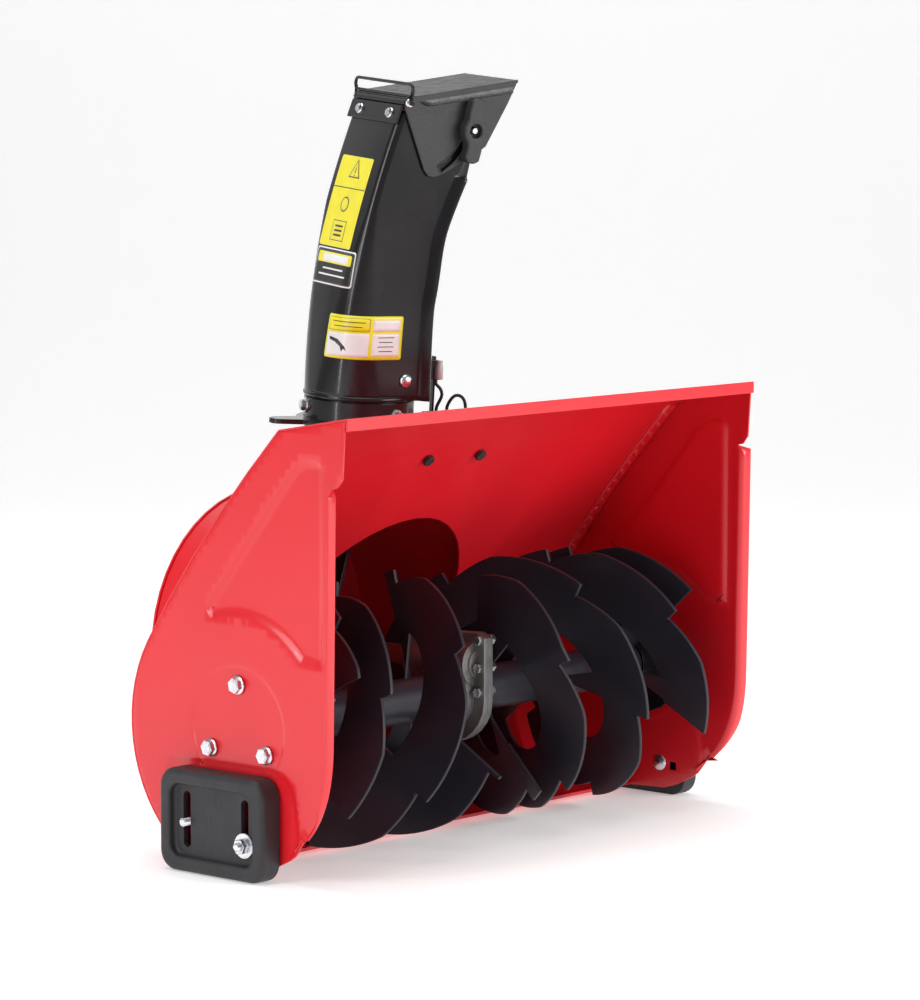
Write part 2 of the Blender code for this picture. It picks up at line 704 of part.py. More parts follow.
def rear_mount():
    """Bearing housing on the drum's rear wall and the flange that the carrying machine bolts to."""
    back = MOUTH_Y + DRUM_BACK + 0.0028
    centre = (0, IMPELLER_Z)
    profile = [(0.0462, back + GAP), (0.0462, back + 0.0050), (0.0250, back + 0.0050)]
    profile += [(0.0250, back + 0.0200), (0.0101, back + 0.0200), (0.0101, back - 0.0080)]
    profile += [(0.0240, back - 0.0080), (0.0240, back + GAP)]
    solid("impeller_bearing_housing", turned(profile, "Y", centre, 28), "cast_aluminium")
    shell = pipe(0.0545, 0.0490, back + GAP, back + 0.0390, "Y", centre, 36)
    flange = solid("mounting_flange", shell, "red_paint")
    plate = prism(shifted(rounded(0.136, 0.136, 0.018, 4), *centre), back + 0.0320, back + 0.0390, "Y")
    add(flange, "mounting_plate", plate)
    cut(flange, "mounting_bore", rod(0.0490, back - 0.02, back + 0.10, "Y", centre, 36))
    spots = [(0.053 * x, IMPELLER_Z + 0.053 * z) for x in (-1, 1) for z in (-1, 1)]
    holes = [rod(0.0050, back + 0.02, back + 0.06, "Y", spot, 10) for spot in spots]
    cut(flange, "mounting_holes", merged(*holes))


# Auger end bearings


def end_bolt_places():
    """Three bolts round the auger's axis, the first one straight above it."""
    return [(AUGER_AXIS[1] + 0.0415 * math.sin(math.radians(a)), AUGER_Z + 0.0415 * math.cos(math.radians(a)))
            for a in (0, 120, 240)]


def end_bearings():
    """A flanged bearing inside each side plate, with its three bolts."""
    for side, hand in ((-1, "left"), (1, "right")):
        face = SIDE_X - SHEET - GAP
        centre = (AUGER_AXIS[1], AUGER_Z)
        profile = [(0.0530, face), (0.0530, face - 0.004), (0.0250, face - 0.004), (0.0230, face - 0.0280)]
        profile += [(SHAFT_RADIUS + GAP, face - 0.0280), (SHAFT_RADIUS + GAP, face)]
        profile = [(radius, side * x) for radius, x in profile]
        bearing = solid(f"auger_bearing_{hand}", turned(profile, "X", centre, 24), "black_paint")
        holes = [rod(0.0043, side * 0.27, side * 0.32, "X", spot, 12) for spot in end_bolt_places()]
        cut(bearing, f"end_holes_{hand}", merged(*holes))
        for number, spot in enumerate(end_bolt_places(), 1):
            outside = SIDE_X + GAP
            bolt = [(0, outside + 0.0062), (0.0060, outside + 0.0062), (0.0074, outside + 0.0048)]
            bolt += [(0.0074, outside + 0.0012), (0.0085, outside + 0.0010), (0.0085, outside)]
            bolt += [(0.0039, outside), (0.0039, 0.2855), (0, 0.2855)]
            bolt = [(radius, side * x) for radius, x in bolt]
            solid(f"end_bolt_{hand}_{number}", turned(bolt, "X", spot, 6), "zinc")


# Skid shoes


def skid(side):
    """A dished plastic shoe with two upright slots, its two carriage bolts and the front nut."""
    hand = "left" if side < 0 else "right"
    inner = side * (SIDE_X + GAP)
    outer = side * (SIDE_X + SKID_THICK)
    centre = (MOUTH_Y + SKID_Y, SKID_HEIGHT / 2)
    axis = empty(f"skid_axis_{hand}", (0, 0, 0))
    outline = shifted(rounded(SKID_LENGTH, SKID_HEIGHT, 0.018, 5), *centre)
    shoe = solid(f"skid_shoe_{hand}", prism(outline, inner, outer, "X"), "skid_plastic", axis)
    dish = shifted(rounded(SKID_LENGTH - 0.026, SKID_HEIGHT - 0.026, 0.010, 4), *centre)
    cut(shoe, f"skid_dish_{hand}", prism(dish, outer - side * 0.008, outer + side * 0.01, "X"), axis)
    slots = []
    for y, _ in SKID_BOLTS:
        slot = shifted(rounded(0.0092, 0.0528, 0.0045, 4), MOUTH_Y + y, SKID_HEIGHT / 2 + 0.0005)
        slots.append(prism(slot, side * (SIDE_X - 0.01), outer + side * 0.02, "X"))
    cut(shoe, f"skid_slots_{hand}", merged(*slots), axis)
    hollow = shifted(rounded(SKID_LENGTH - 0.020, SKID_HEIGHT - 0.020, 0.010, 3), *centre)
    cut(shoe, f"skid_back_{hand}", prism(hollow, side * (SIDE_X - 0.01), inner + side * 0.009, "X"), axis)
    for (y, z), place, reach in zip(SKID_BOLTS, ("front", "rear"), (0.0270, 0.0215)):
        head = SIDE_X - SHEET - GAP
        bolt = [(0, head - 0.0045), (0.0050, head - 0.0042), (0.0088, head - 0.0022), (0.0088, head)]
        bolt += [(0.0039, head), (0.0039, SIDE_X + reach), (0, SIDE_X + reach)]
        bolt = [(radius, side * x) for radius, x in bolt]
        solid(f"skid_bolt_{hand}_{place}", turned(bolt, "X", (MOUTH_Y + y, z), 12), "zinc")
    y, z = SKID_BOLTS[0]
    seat = SIDE_X + SKID_THICK - 0.008 + GAP
    nut = [(0.0120, seat), (0.0120, seat + 0.0018), (0.0074, seat + 0.0020), (0.0074, seat + 0.0080)]
    nut += [(0.0060, seat + 0.0086), (0.0042, seat + 0.0086), (0.0042, seat)]
    nut = [(radius, side * x) for radius, x in nut]
    solid(f"skid_nut_{hand}", turned(nut, "X", (MOUTH_Y + y, z), 18), "zinc")


# Chute: x runs the way the snow leaves, z runs up the chute's turning axis


def chute_back(z):
    """How far forward the back wall has come at a height."""
    return -CHUTE_RADIUS + 0.058 * z + 0.517 * z * z


def chute_crease(z):
    """How far forward each side wall's front crease is at a height."""
    spots = ((0.0, 0.0355), (0.086, 0.0365), (0.114, 0.0405), (0.161, 0.0470), (0.195, 0.0590), (0.226, 0.0720), (0.4, 0.15))
    for (low, one), (high, two) in zip(spots, spots[1:]):
        if z <= high:
            return one + (two - one) * max(z - low, 0.0) / (high - low)
    return spots[-1][1]


def chute_section(z):
    """The U of the chute's wall in plan, from one front edge to the other."""
    rise = min(max(z / 0.190, 0.0), 1.0)
    half = CHUTE_RADIUS - (CHUTE_RADIUS - CHUTE_TOP_HALF) * rise
    corner = half - 0.004 - (half - 0.015) * rise
    back = chute_back(max(z, 0.0))
    front = chute_crease(z)
    if z < FLARE_TOP:
        edge = (front + 0.0088, -half - 0.0088)
    else:
        edge = (0.0830 + (z - 0.226) * 0.20, -half)
    if z > FLARE_TOP:
        front = min(front, edge[0] - 0.006)
    side = [edge, (front, -half), (front * 0.4 + (back + corner) * 0.6, -half)]
    bend = arc((back + corner, -half + corner), corner, 270, 180, 7)
    points = side + bend
    return points + [(x, -y) for x, y in points[::-1]]


def sheet_section(points, thick):
    """A closed loop round a bent sheet: its outer line, then its inner line back."""
    inner = []
    for i, point in enumerate(points):
        before = Vector(points[max(i - 1, 0)])
        after = Vector(points[min(i + 1, len(points) - 1)])
        along = (after - before).normalized()
        inner.append((point[0] + along.y * thick, point[1] - along.x * thick))
    return points + inner[::-1]


def loft(sections, levels):
    """Joins closed loops at their heights and caps both ends."""
    bm = bmesh.new()
    rows = [[bm.verts.new((x, y, z)) for x, y in loop] for loop, z in zip(sections, levels)]
    for one, two in zip(rows, rows[1:]):
        for i in range(len(one)):
            j = (i + 1) % len(one)
            bm.faces.new((one[i], one[j], two[j], two[i]))
    bm.faces.new(rows[0])
    bm.faces.new(rows[-1][::-1])
    return bm


def chute(axis):
    """The curved chute with its round foot, the plate that closes its lower front, and the hinge bracket."""
    levels = [-0.001, 0.020, 0.050, 0.080, 0.110, 0.140, 0.170, 0.195, FLARE_TOP - 0.001, FLARE_TOP + 0.001, 0.250, 0.2845]
    sections = [sheet_section(chute_section(z), SHEET) for z in levels]
    body = solid("discharge_chute", loft(sections, levels), "black_paint", axis)
    foot = [(CHUTE_RADIUS + 0.0030, -0.0032), (CHUTE_RADIUS + 0.0030, 0.0030), (CHUTE_RADIUS - 0.0008, 0.0045)]
    foot += [(CHUTE_RADIUS - 0.0050, 0.0045), (CHUTE_RADIUS - 0.0050, -0.0200), (CHUTE_RADIUS - 0.0020, -0.0200)]
    foot += [(CHUTE_RADIUS - 0.0020, -0.0032)]
    add(body, "chute_foot", turned(foot, "Z", steps=32), axis)
    front = chute_crease(0.0) + 0.0088 + 0.0018
    outline = [(-0.052, 0.0065), (0.052, 0.0065), (0.050, 0.100), (0.040, 0.110), (-0.040, 0.110), (-0.050, 0.100)]
    face = solid("chute_front_plate", prism(outline, front, front + SHEET, "X"), "black_paint", axis)
    face.location = (0.0, 0.0, 0.0)
    return body


def hinge_bracket(axis):
    """The folded plate at the chute's top that carries the deflector's hinge pin."""
    z = 0.2665
    back = chute_back(z)
    slope = math.atan(0.058 + 2 * 0.517 * (z + 0.004))
    turn = Matrix.Translation((back, 0, z)) @ Matrix.Rotation(slope, 4, "Y")
    half = CHUTE_TOP_HALF + 0.0005
    plate = moved(box((-0.0026, -half, 0.0050), (-GAP, half, 0.0235)), turn)
    bracket = solid("hinge_bracket", plate, "black_paint", axis)
    add(bracket, "bracket_fold", box((back + 0.0055, -half, 0.2855), (HINGE_X, half, 0.2885)), axis)
    add(bracket, "hinge_knuckle", rod(0.0048, -half, half, "Y", (HINGE_X, HINGE_Z), 16), axis)
    cut(bracket, "hinge_bore", rod(0.0027, -0.06, 0.06, "Y", (HINGE_X, HINGE_Z), 12), axis)


def deflector_axis(chute_axis):
    place = (HINGE_X, 0.0, HINGE_Z)
    return empty("deflector_axis", place, chute_axis)


def deflector(axis):
    """The hood that turns the snow down: a top, and two cheeks with a curved slot and an ear on the pin."""
    rise = math.radians(DEFLECTOR_RISE)
    along = Matrix.Rotation(-rise, 4, "Y")
    half = CHUTE_TOP_HALF + 0.0034
    top = moved(box((0.0080, -half, 0.0030), (0.1245, half, 0.0058)), along)
    hood = solid("deflector", top, "black_plastic", axis)
    cheek = [(-0.0050, -0.0050), (-0.0040, 0.0040), (0.0035, 0.0060), (0.0105, 0.0068)]
    cheek += [(0.1222, 0.0245), (0.1120, 0.0020)]
    cheek += [(0.0890, -0.0410), (0.0760, -0.0500), (0.0634, -0.0564), (0.0503, -0.0640), (0.0400, -0.0695)]
    cheek += [(0.0320, -0.0722), (0.0250, -0.0710), (0.0200, -0.0650)]
    for side in (-1, 1):
        near, far = side * (half - 0.0024), side * half
        plate = prism(cheek, near, far, "Y")
        add(hood, f"cheek_{'near' if side < 0 else 'far'}", plate, axis)
    slot = arc((0, 0), SLOT_RADIUS + 0.0034, -60, -12, 8) + arc((0, 0), SLOT_RADIUS - 0.0034, -12, -60, 8)
    cut(hood, "cheek_slot", prism(slot, -0.06, 0.06, "Y"), axis)
    cut(hood, "pin_bore", rod(0.0027, -0.08, 0.08, "Y", steps=12), axis)
    hinge_wire(axis)


def wire_loop(path, radius, sides=8):
    """A closed wire of round section along a flat loop in the YZ plane."""
    bm = bmesh.new()
    count = len(path)
    rows = []
    for i in range(count):
        along = (Vector(path[(i + 1) % count]) - Vector(path[i - 1])).normalized()
        row = []
        for k in range(sides):
            angle = 2 * math.pi * (k + 0.5) / sides
            out = radius * math.cos(angle)
            row.append(bm.verts.new((radius * math.sin(angle), path[i][0] + along.y * out, path[i][1] - along.x * out)))
        rows.append(row)
    for i in range(count):
        one, two = rows[i], rows[(i + 1) % count]
        for k in range(sides):
            j = (k + 1) % sides
            bm.faces.new((one[k], one[j], two[j], two[k]))
    return bm


def hinge_wire(axis):
    """The hinge pin, and the loop that it is bent into above the hinge."""
    pin = solid("hinge_wire", rod(0.0024, -0.0580, 0.0580, "Y", steps=12, start=0.1), "black_paint", axis)
    loop = moved(wire_loop(rounded(0.1150, 0.0115, 0.0052, 3), 0.0018), Matrix.Translation((0.0, 0.0, 0.0128)))
    add(pin, "wire_loop", loop, axis)
    for side in (-1, 1):
        leg = rod(0.0017, 0.0, 0.0110, "Z", (0.0, side * 0.0562), 8, 0.2)
        add(pin, f"wire_leg_{'near' if side < 0 else 'far'}", leg, axis)


def knob_place():
    """The clamp bolt's place from the deflector's hinge, at rest."""
    angle = math.radians(-20)
    return SLOT_RADIUS * math.cos(angle), SLOT_RADIUS * math.sin(angle)


def wing_knob(chute_axis, hinge):
    """A two-lobed knob on its bolt, which clamps the deflector through the slot."""
    x, z = knob_place()
    spot = (hinge.location.x + x, 0.0, hinge.location.z + z)
    axis = empty("knob_axis", spot, chute_axis)
    face = CHUTE_TOP_HALF + 0.0034 + GAP * 2
    lobes = [(-0.0125, -0.0050), (-0.0085, -0.0120), (-0.0085, -0.0170), (-0.0110, -0.0250), (-0.0085, -0.0305)]
    lobes += [(-0.0010, -0.0325), (0.0050, -0.0300), (0.0075, -0.0200), (0.0080, -0.0130), (0.0125, -0.0050)]
    outline = lobes + [(-a, -b) for a, b in lobes]
    knob = solid("wing_knob", prism(outline, -face - 0.0125, -face, "Y"), "black_plastic", axis)
    cut(knob, "knob_bore", rod(0.0033, -0.08, -0.04, "Y", steps=12), axis)
    cut(knob, "knob_recess", rod(0.0066, -0.08, -face - 0.0070, "Y", steps=16), axis)
    inside = CHUTE_TOP_HALF - SHEET - GAP
    bolt = [(0, -face - 0.0100), (0.0030, -face - 0.0100), (0.0030, -inside), (0.0062, -inside)]
    bolt += [(0.0062, -inside + 0.0040), (0, -inside + 0.0040)]
    solid("knob_bolt", turned(bolt, "Y", steps=10), "zinc", axis)
    hole = rod(0.0034, -0.07, -0.02, "Y", (spot[0], spot[2]), 12)
    cut(bpy.data.objects["discharge_chute"], "knob_hole", hole, chute_axis)


# Control cables: both ends are held by the bracket on the support ring


CABLE_ROUTES = {
    "control_cable_1": [(0.0795, -0.0302, 0.0120), (0.0797, -0.0303, 0.0085), (0.0835, -0.0330, 0.0040),
                        (0.0850, -0.0345, -0.0020), (0.0835, -0.0335, -0.0080), (0.0815, -0.0315, -0.0140),
                        (0.0810, -0.0310, -0.0200)],
    "control_cable_2": [(0.0880, -0.0395, -0.0200), (0.0880, -0.0395, -0.0140), (0.0905, -0.0415, -0.0070),
                        (0.0945, -0.0440, -0.0025), (0.0990, -0.0475, -0.0030), (0.1020, -0.0500, -0.0075),
                        (0.1030, -0.0510, -0.0140), (0.1030, -0.0510, -0.0200)],
}


def smooth_route(points, spacing):
    """Points read from a smooth curve through the route's own points."""
    count = len(points)
    found = []
    for i in range(count - 1):
        p0 = Vector(points[max(i - 1, 0)])
        p1 = Vector(points[i])
        p2 = Vector(points[i + 1])
        p3 = Vector(points[min(i + 2, count - 1)])
        steps = max(1, round((p2 - p1).length / spacing))
        for k in range(steps):
            t = k / steps
            blend = 2 * p1 + (p2 - p0) * t + (2 * p0 - 5 * p1 + 4 * p2 - p3) * t * t
            found.append((blend + (3 * p1 - p0 - 3 * p2 + p3) * t ** 3) * 0.5)
    return found + [Vector(points[-1])]


def cables(axis):
    """The bracket on the ring's long ear and the two short cables that arch over it."""
    turn = Matrix.Rotation(math.radians(-20), 4, "Z")
    foot = moved(box((0.0760, -0.0270, -0.0247), (0.1150, 0.0090, -0.0203)), turn)
    bracket = solid("cable_bracket", foot, "black_paint", axis)
    post = moved(box((0.0840, 0.0020, -0.0220), (0.0862, 0.0085, 0.0360)), turn)
    add(bracket, "cable_post", post, axis)
    clip = moved(box((0.0790, -0.0060, 0.0127), (0.0862, 0.0085, 0.0330)), turn)
    add(bracket, "cable_clip", clip, axis)
    for name, route in CABLE_ROUTES.items():
        points = smooth_route(route, 0.0035)
        curve = bpy.data.curves.new(name, "CURVE")
        curve.dimensions = "3D"
        curve.bevel_depth = 0.0018
        curve.bevel_resolution = 2
        curve.use_fill_caps = True
        spline = curve.splines.new("POLY")
        spline.points.add(len(points) - 1)
        for knot, point in zip(spline.points, points):
            knot.co = (point.x, point.y, point.z, 1.0)
        curve.materials.append(paint("cable_black"))
        cable = bpy.data.objects.new(name, curve)
        cable.parent = axis
        bpy.context.collection.objects.link(cable)


def main():
    clear_scene()
    lean = math.radians(CHUTE_LEAN)
    neck_axis = empty("neck_axis", (0.0, MOUTH_Y + CHUTE_Y, CHUTE_Z), None, (lean, 0.0, 0.0))
    auger_axis = empty("auger_axis", AUGER_AXIS)
    impeller_axis = empty("impeller_axis", IMPELLER_AXIS)
    chute_axis = empty("chute_axis", (0.0, 0.0, 0.0), neck_axis, (0.0, 0.0, math.radians(CHUTE_YAW)))
    back_sheet()
    sheet_bolts()
    mirror = empty("plate_mirror", (0.0, 0.0, 0.0))
    mirror.scale = (-1.0, 1.0, 1.0)
    side_plate("left", mirror)
    side_plate("right", None)
    scraper()
    drum()
    neck(neck_axis)
    support_ring(neck_axis)
    auger(auger_axis)
    worm_wheel(auger_axis)
    gearbox(auger_axis)
    impeller(impeller_axis)
    rear_mount()
    end_bearings()
    skid(-1)
    skid(1)
    chute(chute_axis)
    hinge_bracket(chute_axis)
    hinge = deflector_axis(chute_axis)
    deflector(hinge)
    wing_knob(chute_axis, hinge)
    cables(neck_axis)


main()
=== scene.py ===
"""Looks of the two-stage snow blower attachment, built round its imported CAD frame.

Metres, in the frame's own axes: X across the machine, -Y out of the mouth, +Z up. Side profiles are written
with y counted from the mouth, as in the part, and MOUTH_Y moves them into the frame.
"""
import math

import bmesh
import bpy
from mathutils import Matrix, Vector
from mathutils.geometry import delaunay_2d_cdt


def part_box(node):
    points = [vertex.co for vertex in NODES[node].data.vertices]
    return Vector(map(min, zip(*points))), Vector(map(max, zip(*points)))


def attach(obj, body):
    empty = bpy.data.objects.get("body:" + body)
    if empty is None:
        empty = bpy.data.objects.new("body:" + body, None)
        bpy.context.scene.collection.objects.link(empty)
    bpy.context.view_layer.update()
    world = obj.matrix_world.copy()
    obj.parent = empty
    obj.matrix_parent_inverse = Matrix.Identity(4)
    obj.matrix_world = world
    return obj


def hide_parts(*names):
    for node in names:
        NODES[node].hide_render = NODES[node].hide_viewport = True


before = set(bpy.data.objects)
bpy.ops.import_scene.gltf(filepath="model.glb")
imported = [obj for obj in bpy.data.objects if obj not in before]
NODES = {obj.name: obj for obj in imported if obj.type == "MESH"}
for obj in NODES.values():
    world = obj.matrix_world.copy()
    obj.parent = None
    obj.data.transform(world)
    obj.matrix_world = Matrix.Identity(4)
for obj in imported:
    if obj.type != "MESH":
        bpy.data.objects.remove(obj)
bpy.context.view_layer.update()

# Dimensions shared with the part
SIDE_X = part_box("side_plate_right")[1].x - 0.012
SHEET = 0.002
MOUTH_Y = -0.2159
HOUSING_RADIUS = 0.142
HOUSING_CENTRE = (0.134, 0.133)
BELLY_START = 33.0
ROOF_BACK = (0.080, 0.4195)
SLANT_CONTROL = (0.1854, 0.3141)
ROOF_FRONT = (-0.004, 0.4340)
AUGER_Y = 0.1335
AUGER_Z = 0.1375
CHUTE_RADIUS = 0.0535
CHUTE_TOP_HALF = 0.0490
FLARE_TOP = 0.2195
SKID_BOLTS = ((0.1107, 0.0330), (0.1863, 0.0465))
THREAD_PITCH = 0.00125
SEAT_GAP = 0.0003
CHUTE_FRAME = (
    Matrix.Translation((0.0, 0.0419, 0.4260))
    @ Matrix.Rotation(math.radians(4.0), 4, "X")
    @ Matrix.Rotation(math.radians(-18.0), 4, "Z")
)


# Mesh helpers


def arc(centre, radius, start, end, steps):
    """Points on an arc, in degrees, with both ends."""
    turns = [math.radians(start + (end - start) * i / steps) for i in range(steps + 1)]
    return [(centre[0] + radius * math.cos(t), centre[1] + radius * math.sin(t)) for t in turns]


def bezier(points, steps):
    """Points on one cubic curve."""
    found = []
    for i in range(steps + 1):
        t = i / steps
        weights = ((1 - t) ** 3, 3 * t * (1 - t) ** 2, 3 * t * t * (1 - t), t ** 3)
        found.append(tuple(sum(w * p[k] for w, p in zip(weights, points)) for k in (0, 1)))
    return found


def smooth(t):
    """0 below 0, 1 above 1, and a soft step between."""
    t = min(max(t, 0.0), 1.0)
    return t * t * (3 - 2 * t)


def eased(t):
    """0 below 0, 1 above 1, steep near 0 and settling slowly near 1."""
    t = min(max(t, 0.0), 1.0)
    return smooth(t ** 0.62)


def evenly(points, spacing, closed=False):
    """The same line with a point about every spacing."""
    ends = points[1:] + points[:1] if closed else points[1:]
    found = []
    for a, b in zip(points, ends):
        a, b = Vector(a), Vector(b)
        steps = max(1, round((b - a).length / spacing))
        found += [tuple(a.lerp(b, i / steps)) for i in range(steps)]
    return found if closed else found + [tuple(points[-1])]


def mesh_of(name, bm):
    """A mesh data block from a bmesh, which is freed."""
    mesh = bpy.data.meshes.new(name)
    bm.to_mesh(mesh)
    bm.free()
    return mesh


def linked(name, data):
    """A new object in the scene."""
    thing = bpy.data.objects.new(name, data)
    bpy.context.scene.collection.objects.link(thing)
    return thing


def piece(name, bm, material, body, crease=40.0, recalc=True):
    """Turns a bmesh into a named, smooth-shaded piece that rides on a CAD body."""
    if recalc:
        bmesh.ops.recalc_face_normals(bm, faces=bm.faces)
    mesh = mesh_of(name, bm)
    mesh.materials.append(material)
    mesh.shade_smooth()
    mesh.set_sharp_from_angle(angle=math.radians(crease))
    thing = linked(name, mesh)
    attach(thing, body)
    return thing


def soften(thing, name, width, segments, angle):
    """Rounds the edges of a piece that turn by more than an angle."""
    bevel = thing.modifiers.new(name, "BEVEL")
    bevel.width = width
    bevel.segments = segments
    bevel.limit_method = "ANGLE"
    bevel.angle_limit = math.radians(angle)
    bevel.use_clamp_overlap = False
    return bevel


def rounded_off(thing, width, segments=2, angle=35.0):
    """Rounds a piece's sharp edges, with normals weighted by face so that flat faces stay flat."""
    soften(thing, "edge", width, segments, angle).miter_outer = "MITER_ARC"
    weighted = thing.modifiers.new("weighted", "WEIGHTED_NORMAL")
    weighted.weight = 70
    weighted.keep_sharp = False
    return thing


def finish_node(name, material, width):
    """Gives a CAD node welded faces, small rounded edges and its material; its own vertices stay as they are."""
    node = NODES[name]
    mesh = node.data
    if "custom_normal" in mesh.attributes:
        mesh.attributes.remove(mesh.attributes["custom_normal"])
    mesh.shade_smooth()
    mesh.materials.clear()
    mesh.materials.append(material)
    weld = node.modifiers.new("weld", "WELD")
    weld.merge_threshold = 0.00001
    flat = node.modifiers.new("flat", "DECIMATE")
    flat.decimate_type = "DISSOLVE"
    flat.angle_limit = math.radians(0.6)
    rounded_off(node, width)


def spun(profile, steps):
    """A closed body turned about local Z from (radius, height) points that start and end on the axis."""
    bm = bmesh.new()
    rings = []
    for radius, height in profile:
        if radius < 1e-6:
            rings.append([bm.verts.new((0, 0, height))])
            continue
        turns = [2 * math.pi * i / steps for i in range(steps)]
        rings.append([bm.verts.new((radius * math.cos(t), radius * math.sin(t), height)) for t in turns])
    for one, two in zip(rings, rings[1:]):
        for i in range(steps):
            j = (i + 1) % steps
            corners = [one[i % len(one)], one[j % len(one)], two[j % len(two)], two[i % len(two)]]
            kept = [v for n, v in enumerate(corners) if v not in corners[:n]]
            if len(kept) > 2:
                bm.faces.new(kept)
    return bm


def joined(*parts):
    """Several bmeshes in one."""
    whole = bmesh.new()
    for part in parts:
        mesh = mesh_of("part", part)
        whole.from_mesh(mesh)
        bpy.data.meshes.remove(mesh)
    return whole


def moved(bm, matrix):
    bmesh.ops.transform(bm, matrix=matrix, verts=bm.verts)
    return bm


def standing(place, direction, spin=0.0):
    """A frame at a place whose +Z points in a direction."""
    turn = Vector(direction).to_track_quat("Z", "Y").to_matrix().to_4x4()
    return Matrix.Translation(place) @ turn @ Matrix.Rotation(math.radians(spin), 4, "Z")


def sheet_from_grid(rows, closed=False):
    """Quads between rows of points."""
    bm = bmesh.new()
    grid = [[bm.verts.new(p) for p in row] for row in rows]
    for one, two in zip(grid, grid[1:]):
        count = len(one)
        for i in range(count if closed else count - 1):
            j = (i + 1) % count
            bm.faces.new((one[i], one[j], two[j], two[i]))
    return bm


def loft(rows, closed=False, bm=None):
    """Quads round and between closed rows of points, with a cap at each end unless the rows join up too."""
    if bm is None:
        bm = bmesh.new()
    grid = [[bm.verts.new(p) for p in row] for row in rows]
    for one, two in zip(grid, grid[1:] + grid[:1] if closed else grid[1:]):
        for i in range(len(one)):
            j = (i + 1) % len(one)
            bm.faces.new((one[i], one[j], two[j], two[i]))
    if not closed:
        bm.faces.new(grid[0])
        bm.faces.new(grid[-1][::-1])
    return bm


def filled(points, edges, place, inside):
    """Triangles between points of a flat pattern, where inside says so, each point put where place says."""
    verts, _, faces, _, _, _ = delaunay_2d_cdt([Vector(p) for p in points], edges, [], 1, 1e-6)
    bm = bmesh.new()
    made = [bm.verts.new(place(v)) for v in verts]
    for face in faces:
        middle = sum((verts[i] for i in face), Vector((0, 0))) / len(face)
        if inside(*middle):
            bm.faces.new([made[i] for i in face])
    bmesh.ops.delete(bm, geom=[v for v in bm.verts if not v.link_faces], context="VERTS")
    bmesh.ops.recalc_face_normals(bm, faces=bm.faces)
    bm.faces.ensure_lookup_table()
    return bm


def face_out(bm, face, centre):
    """Turns all faces round if this one looks towards the centre."""
    if face.normal.dot(face.calc_center_median() - centre) < 0:
        bmesh.ops.reverse_faces(bm, faces=bm.faces)


def lathe(profile, steps):
    """A ring turned about local Z from a closed (radius, height) profile."""
    turns = [2 * math.pi * k / steps for k in range(steps)]
    return loft([[(r * math.cos(t), r * math.sin(t), z) for r, z in profile] for t in turns], closed=True)


def round_rectangle(half_width, half_height, radius, steps):
    """A closed outline round the origin, from where its corner arcs are centred."""
    found = []
    for x, y, start in ((1, 1, 0), (-1, 1, 90), (-1, -1, 180), (1, -1, 270)):
        found += arc((x * half_width, y * half_height), radius, start, start + 90, steps)
    return found


def thicken(thing, thickness, offset):
    solidify = thing.modifiers.new("sheet", "SOLIDIFY")
    solidify.thickness = thickness
    solidify.offset = offset
    solidify.use_even_offset = True
    return thing


def middle_of(node):
    """The middle of a CAD node's box."""
    return [(a + b) / 2 for a, b in zip(*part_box(node))]


def hand_of(side):
    return "left" if side < 0 else "right"


# Materials


class Paint:
    """A Principled material and its node tree, with short ways to add procedural detail."""

    def __init__(self, name, colour, roughness, metallic=0.0, coat=0.0, coat_roughness=0.05, level=0.5):
        self.material = bpy.data.materials.new(name)
        self.material.use_nodes = True
        self.nodes = self.material.node_tree.nodes
        self.links = self.material.node_tree.links
        self.shader = self.nodes["Principled BSDF"]
        self.colour = colour
        for socket, value in (("Base Color", (*colour, 1.0)), ("Roughness", roughness), ("Metallic", metallic),
                              ("Coat Weight", coat), ("Coat Roughness", coat_roughness),
                              ("Specular IOR Level", level)):
            self.set(socket, value)
        self.place = self.nodes.new("ShaderNodeTexCoord").outputs["Object"]

    def set(self, socket, value):
        self.shader.inputs[socket].default_value = value

    def add(self, kind, output, inputs):
        """One output of a new node whose inputs are set, or linked where the value is another node's output."""
        node = self.nodes.new("ShaderNode" + kind)
        for socket, value in inputs.items():
            if isinstance(value, bpy.types.NodeSocket):
                self.links.new(value, node.inputs[socket])
            else:
                node.inputs[socket].default_value = value
        return node.outputs[output]

    def noise(self, scale, detail=3.0, stretch=(1, 1, 1)):
        place = self.add("Mapping", "Vector", {"Scale": stretch, "Vector": self.place})
        return self.add("TexNoise", "Fac", {"Scale": scale, "Detail": detail, "Vector": place})

    def cells(self, scale):
        return self.add("TexVoronoi", "Distance", {"Scale": scale, "Vector": self.place})

    def ranged(self, value, low, high, to_low, to_high):
        limits = {"From Min": low, "From Max": high, "To Min": to_low, "To Max": to_high}
        return self.add("MapRange", "Result", {**limits, "Value": value})

    def vary_colour(self, mask, other):
        mix = self.nodes.new("ShaderNodeMix")
        mix.data_type = "RGBA"
        mix.inputs["A"].default_value = (*self.colour, 1.0)
        mix.inputs["B"].default_value = (*other, 1.0)
        self.links.new(self.ranged(mask, 0.35, 0.65, 0.0, 1.0), mix.inputs["Factor"])
        self.links.new(mix.outputs["Result"], self.shader.inputs["Base Color"])

    def vary_roughness(self, mask, low, high):
        self.links.new(self.ranged(mask, 0.3, 0.7, low, high), self.shader.inputs["Roughness"])

    def bump(self, *layers):
        """Each layer is (height, depth in metres)."""
        normal = None
        for height, depth in layers:
            inputs = {"Strength": 1.0, "Distance": depth, "Height": height}
            if normal:
                inputs["Normal"] = normal
            normal = self.add("Bump", "Normal", inputs)
        self.links.new(normal, self.shader.inputs["Normal"])


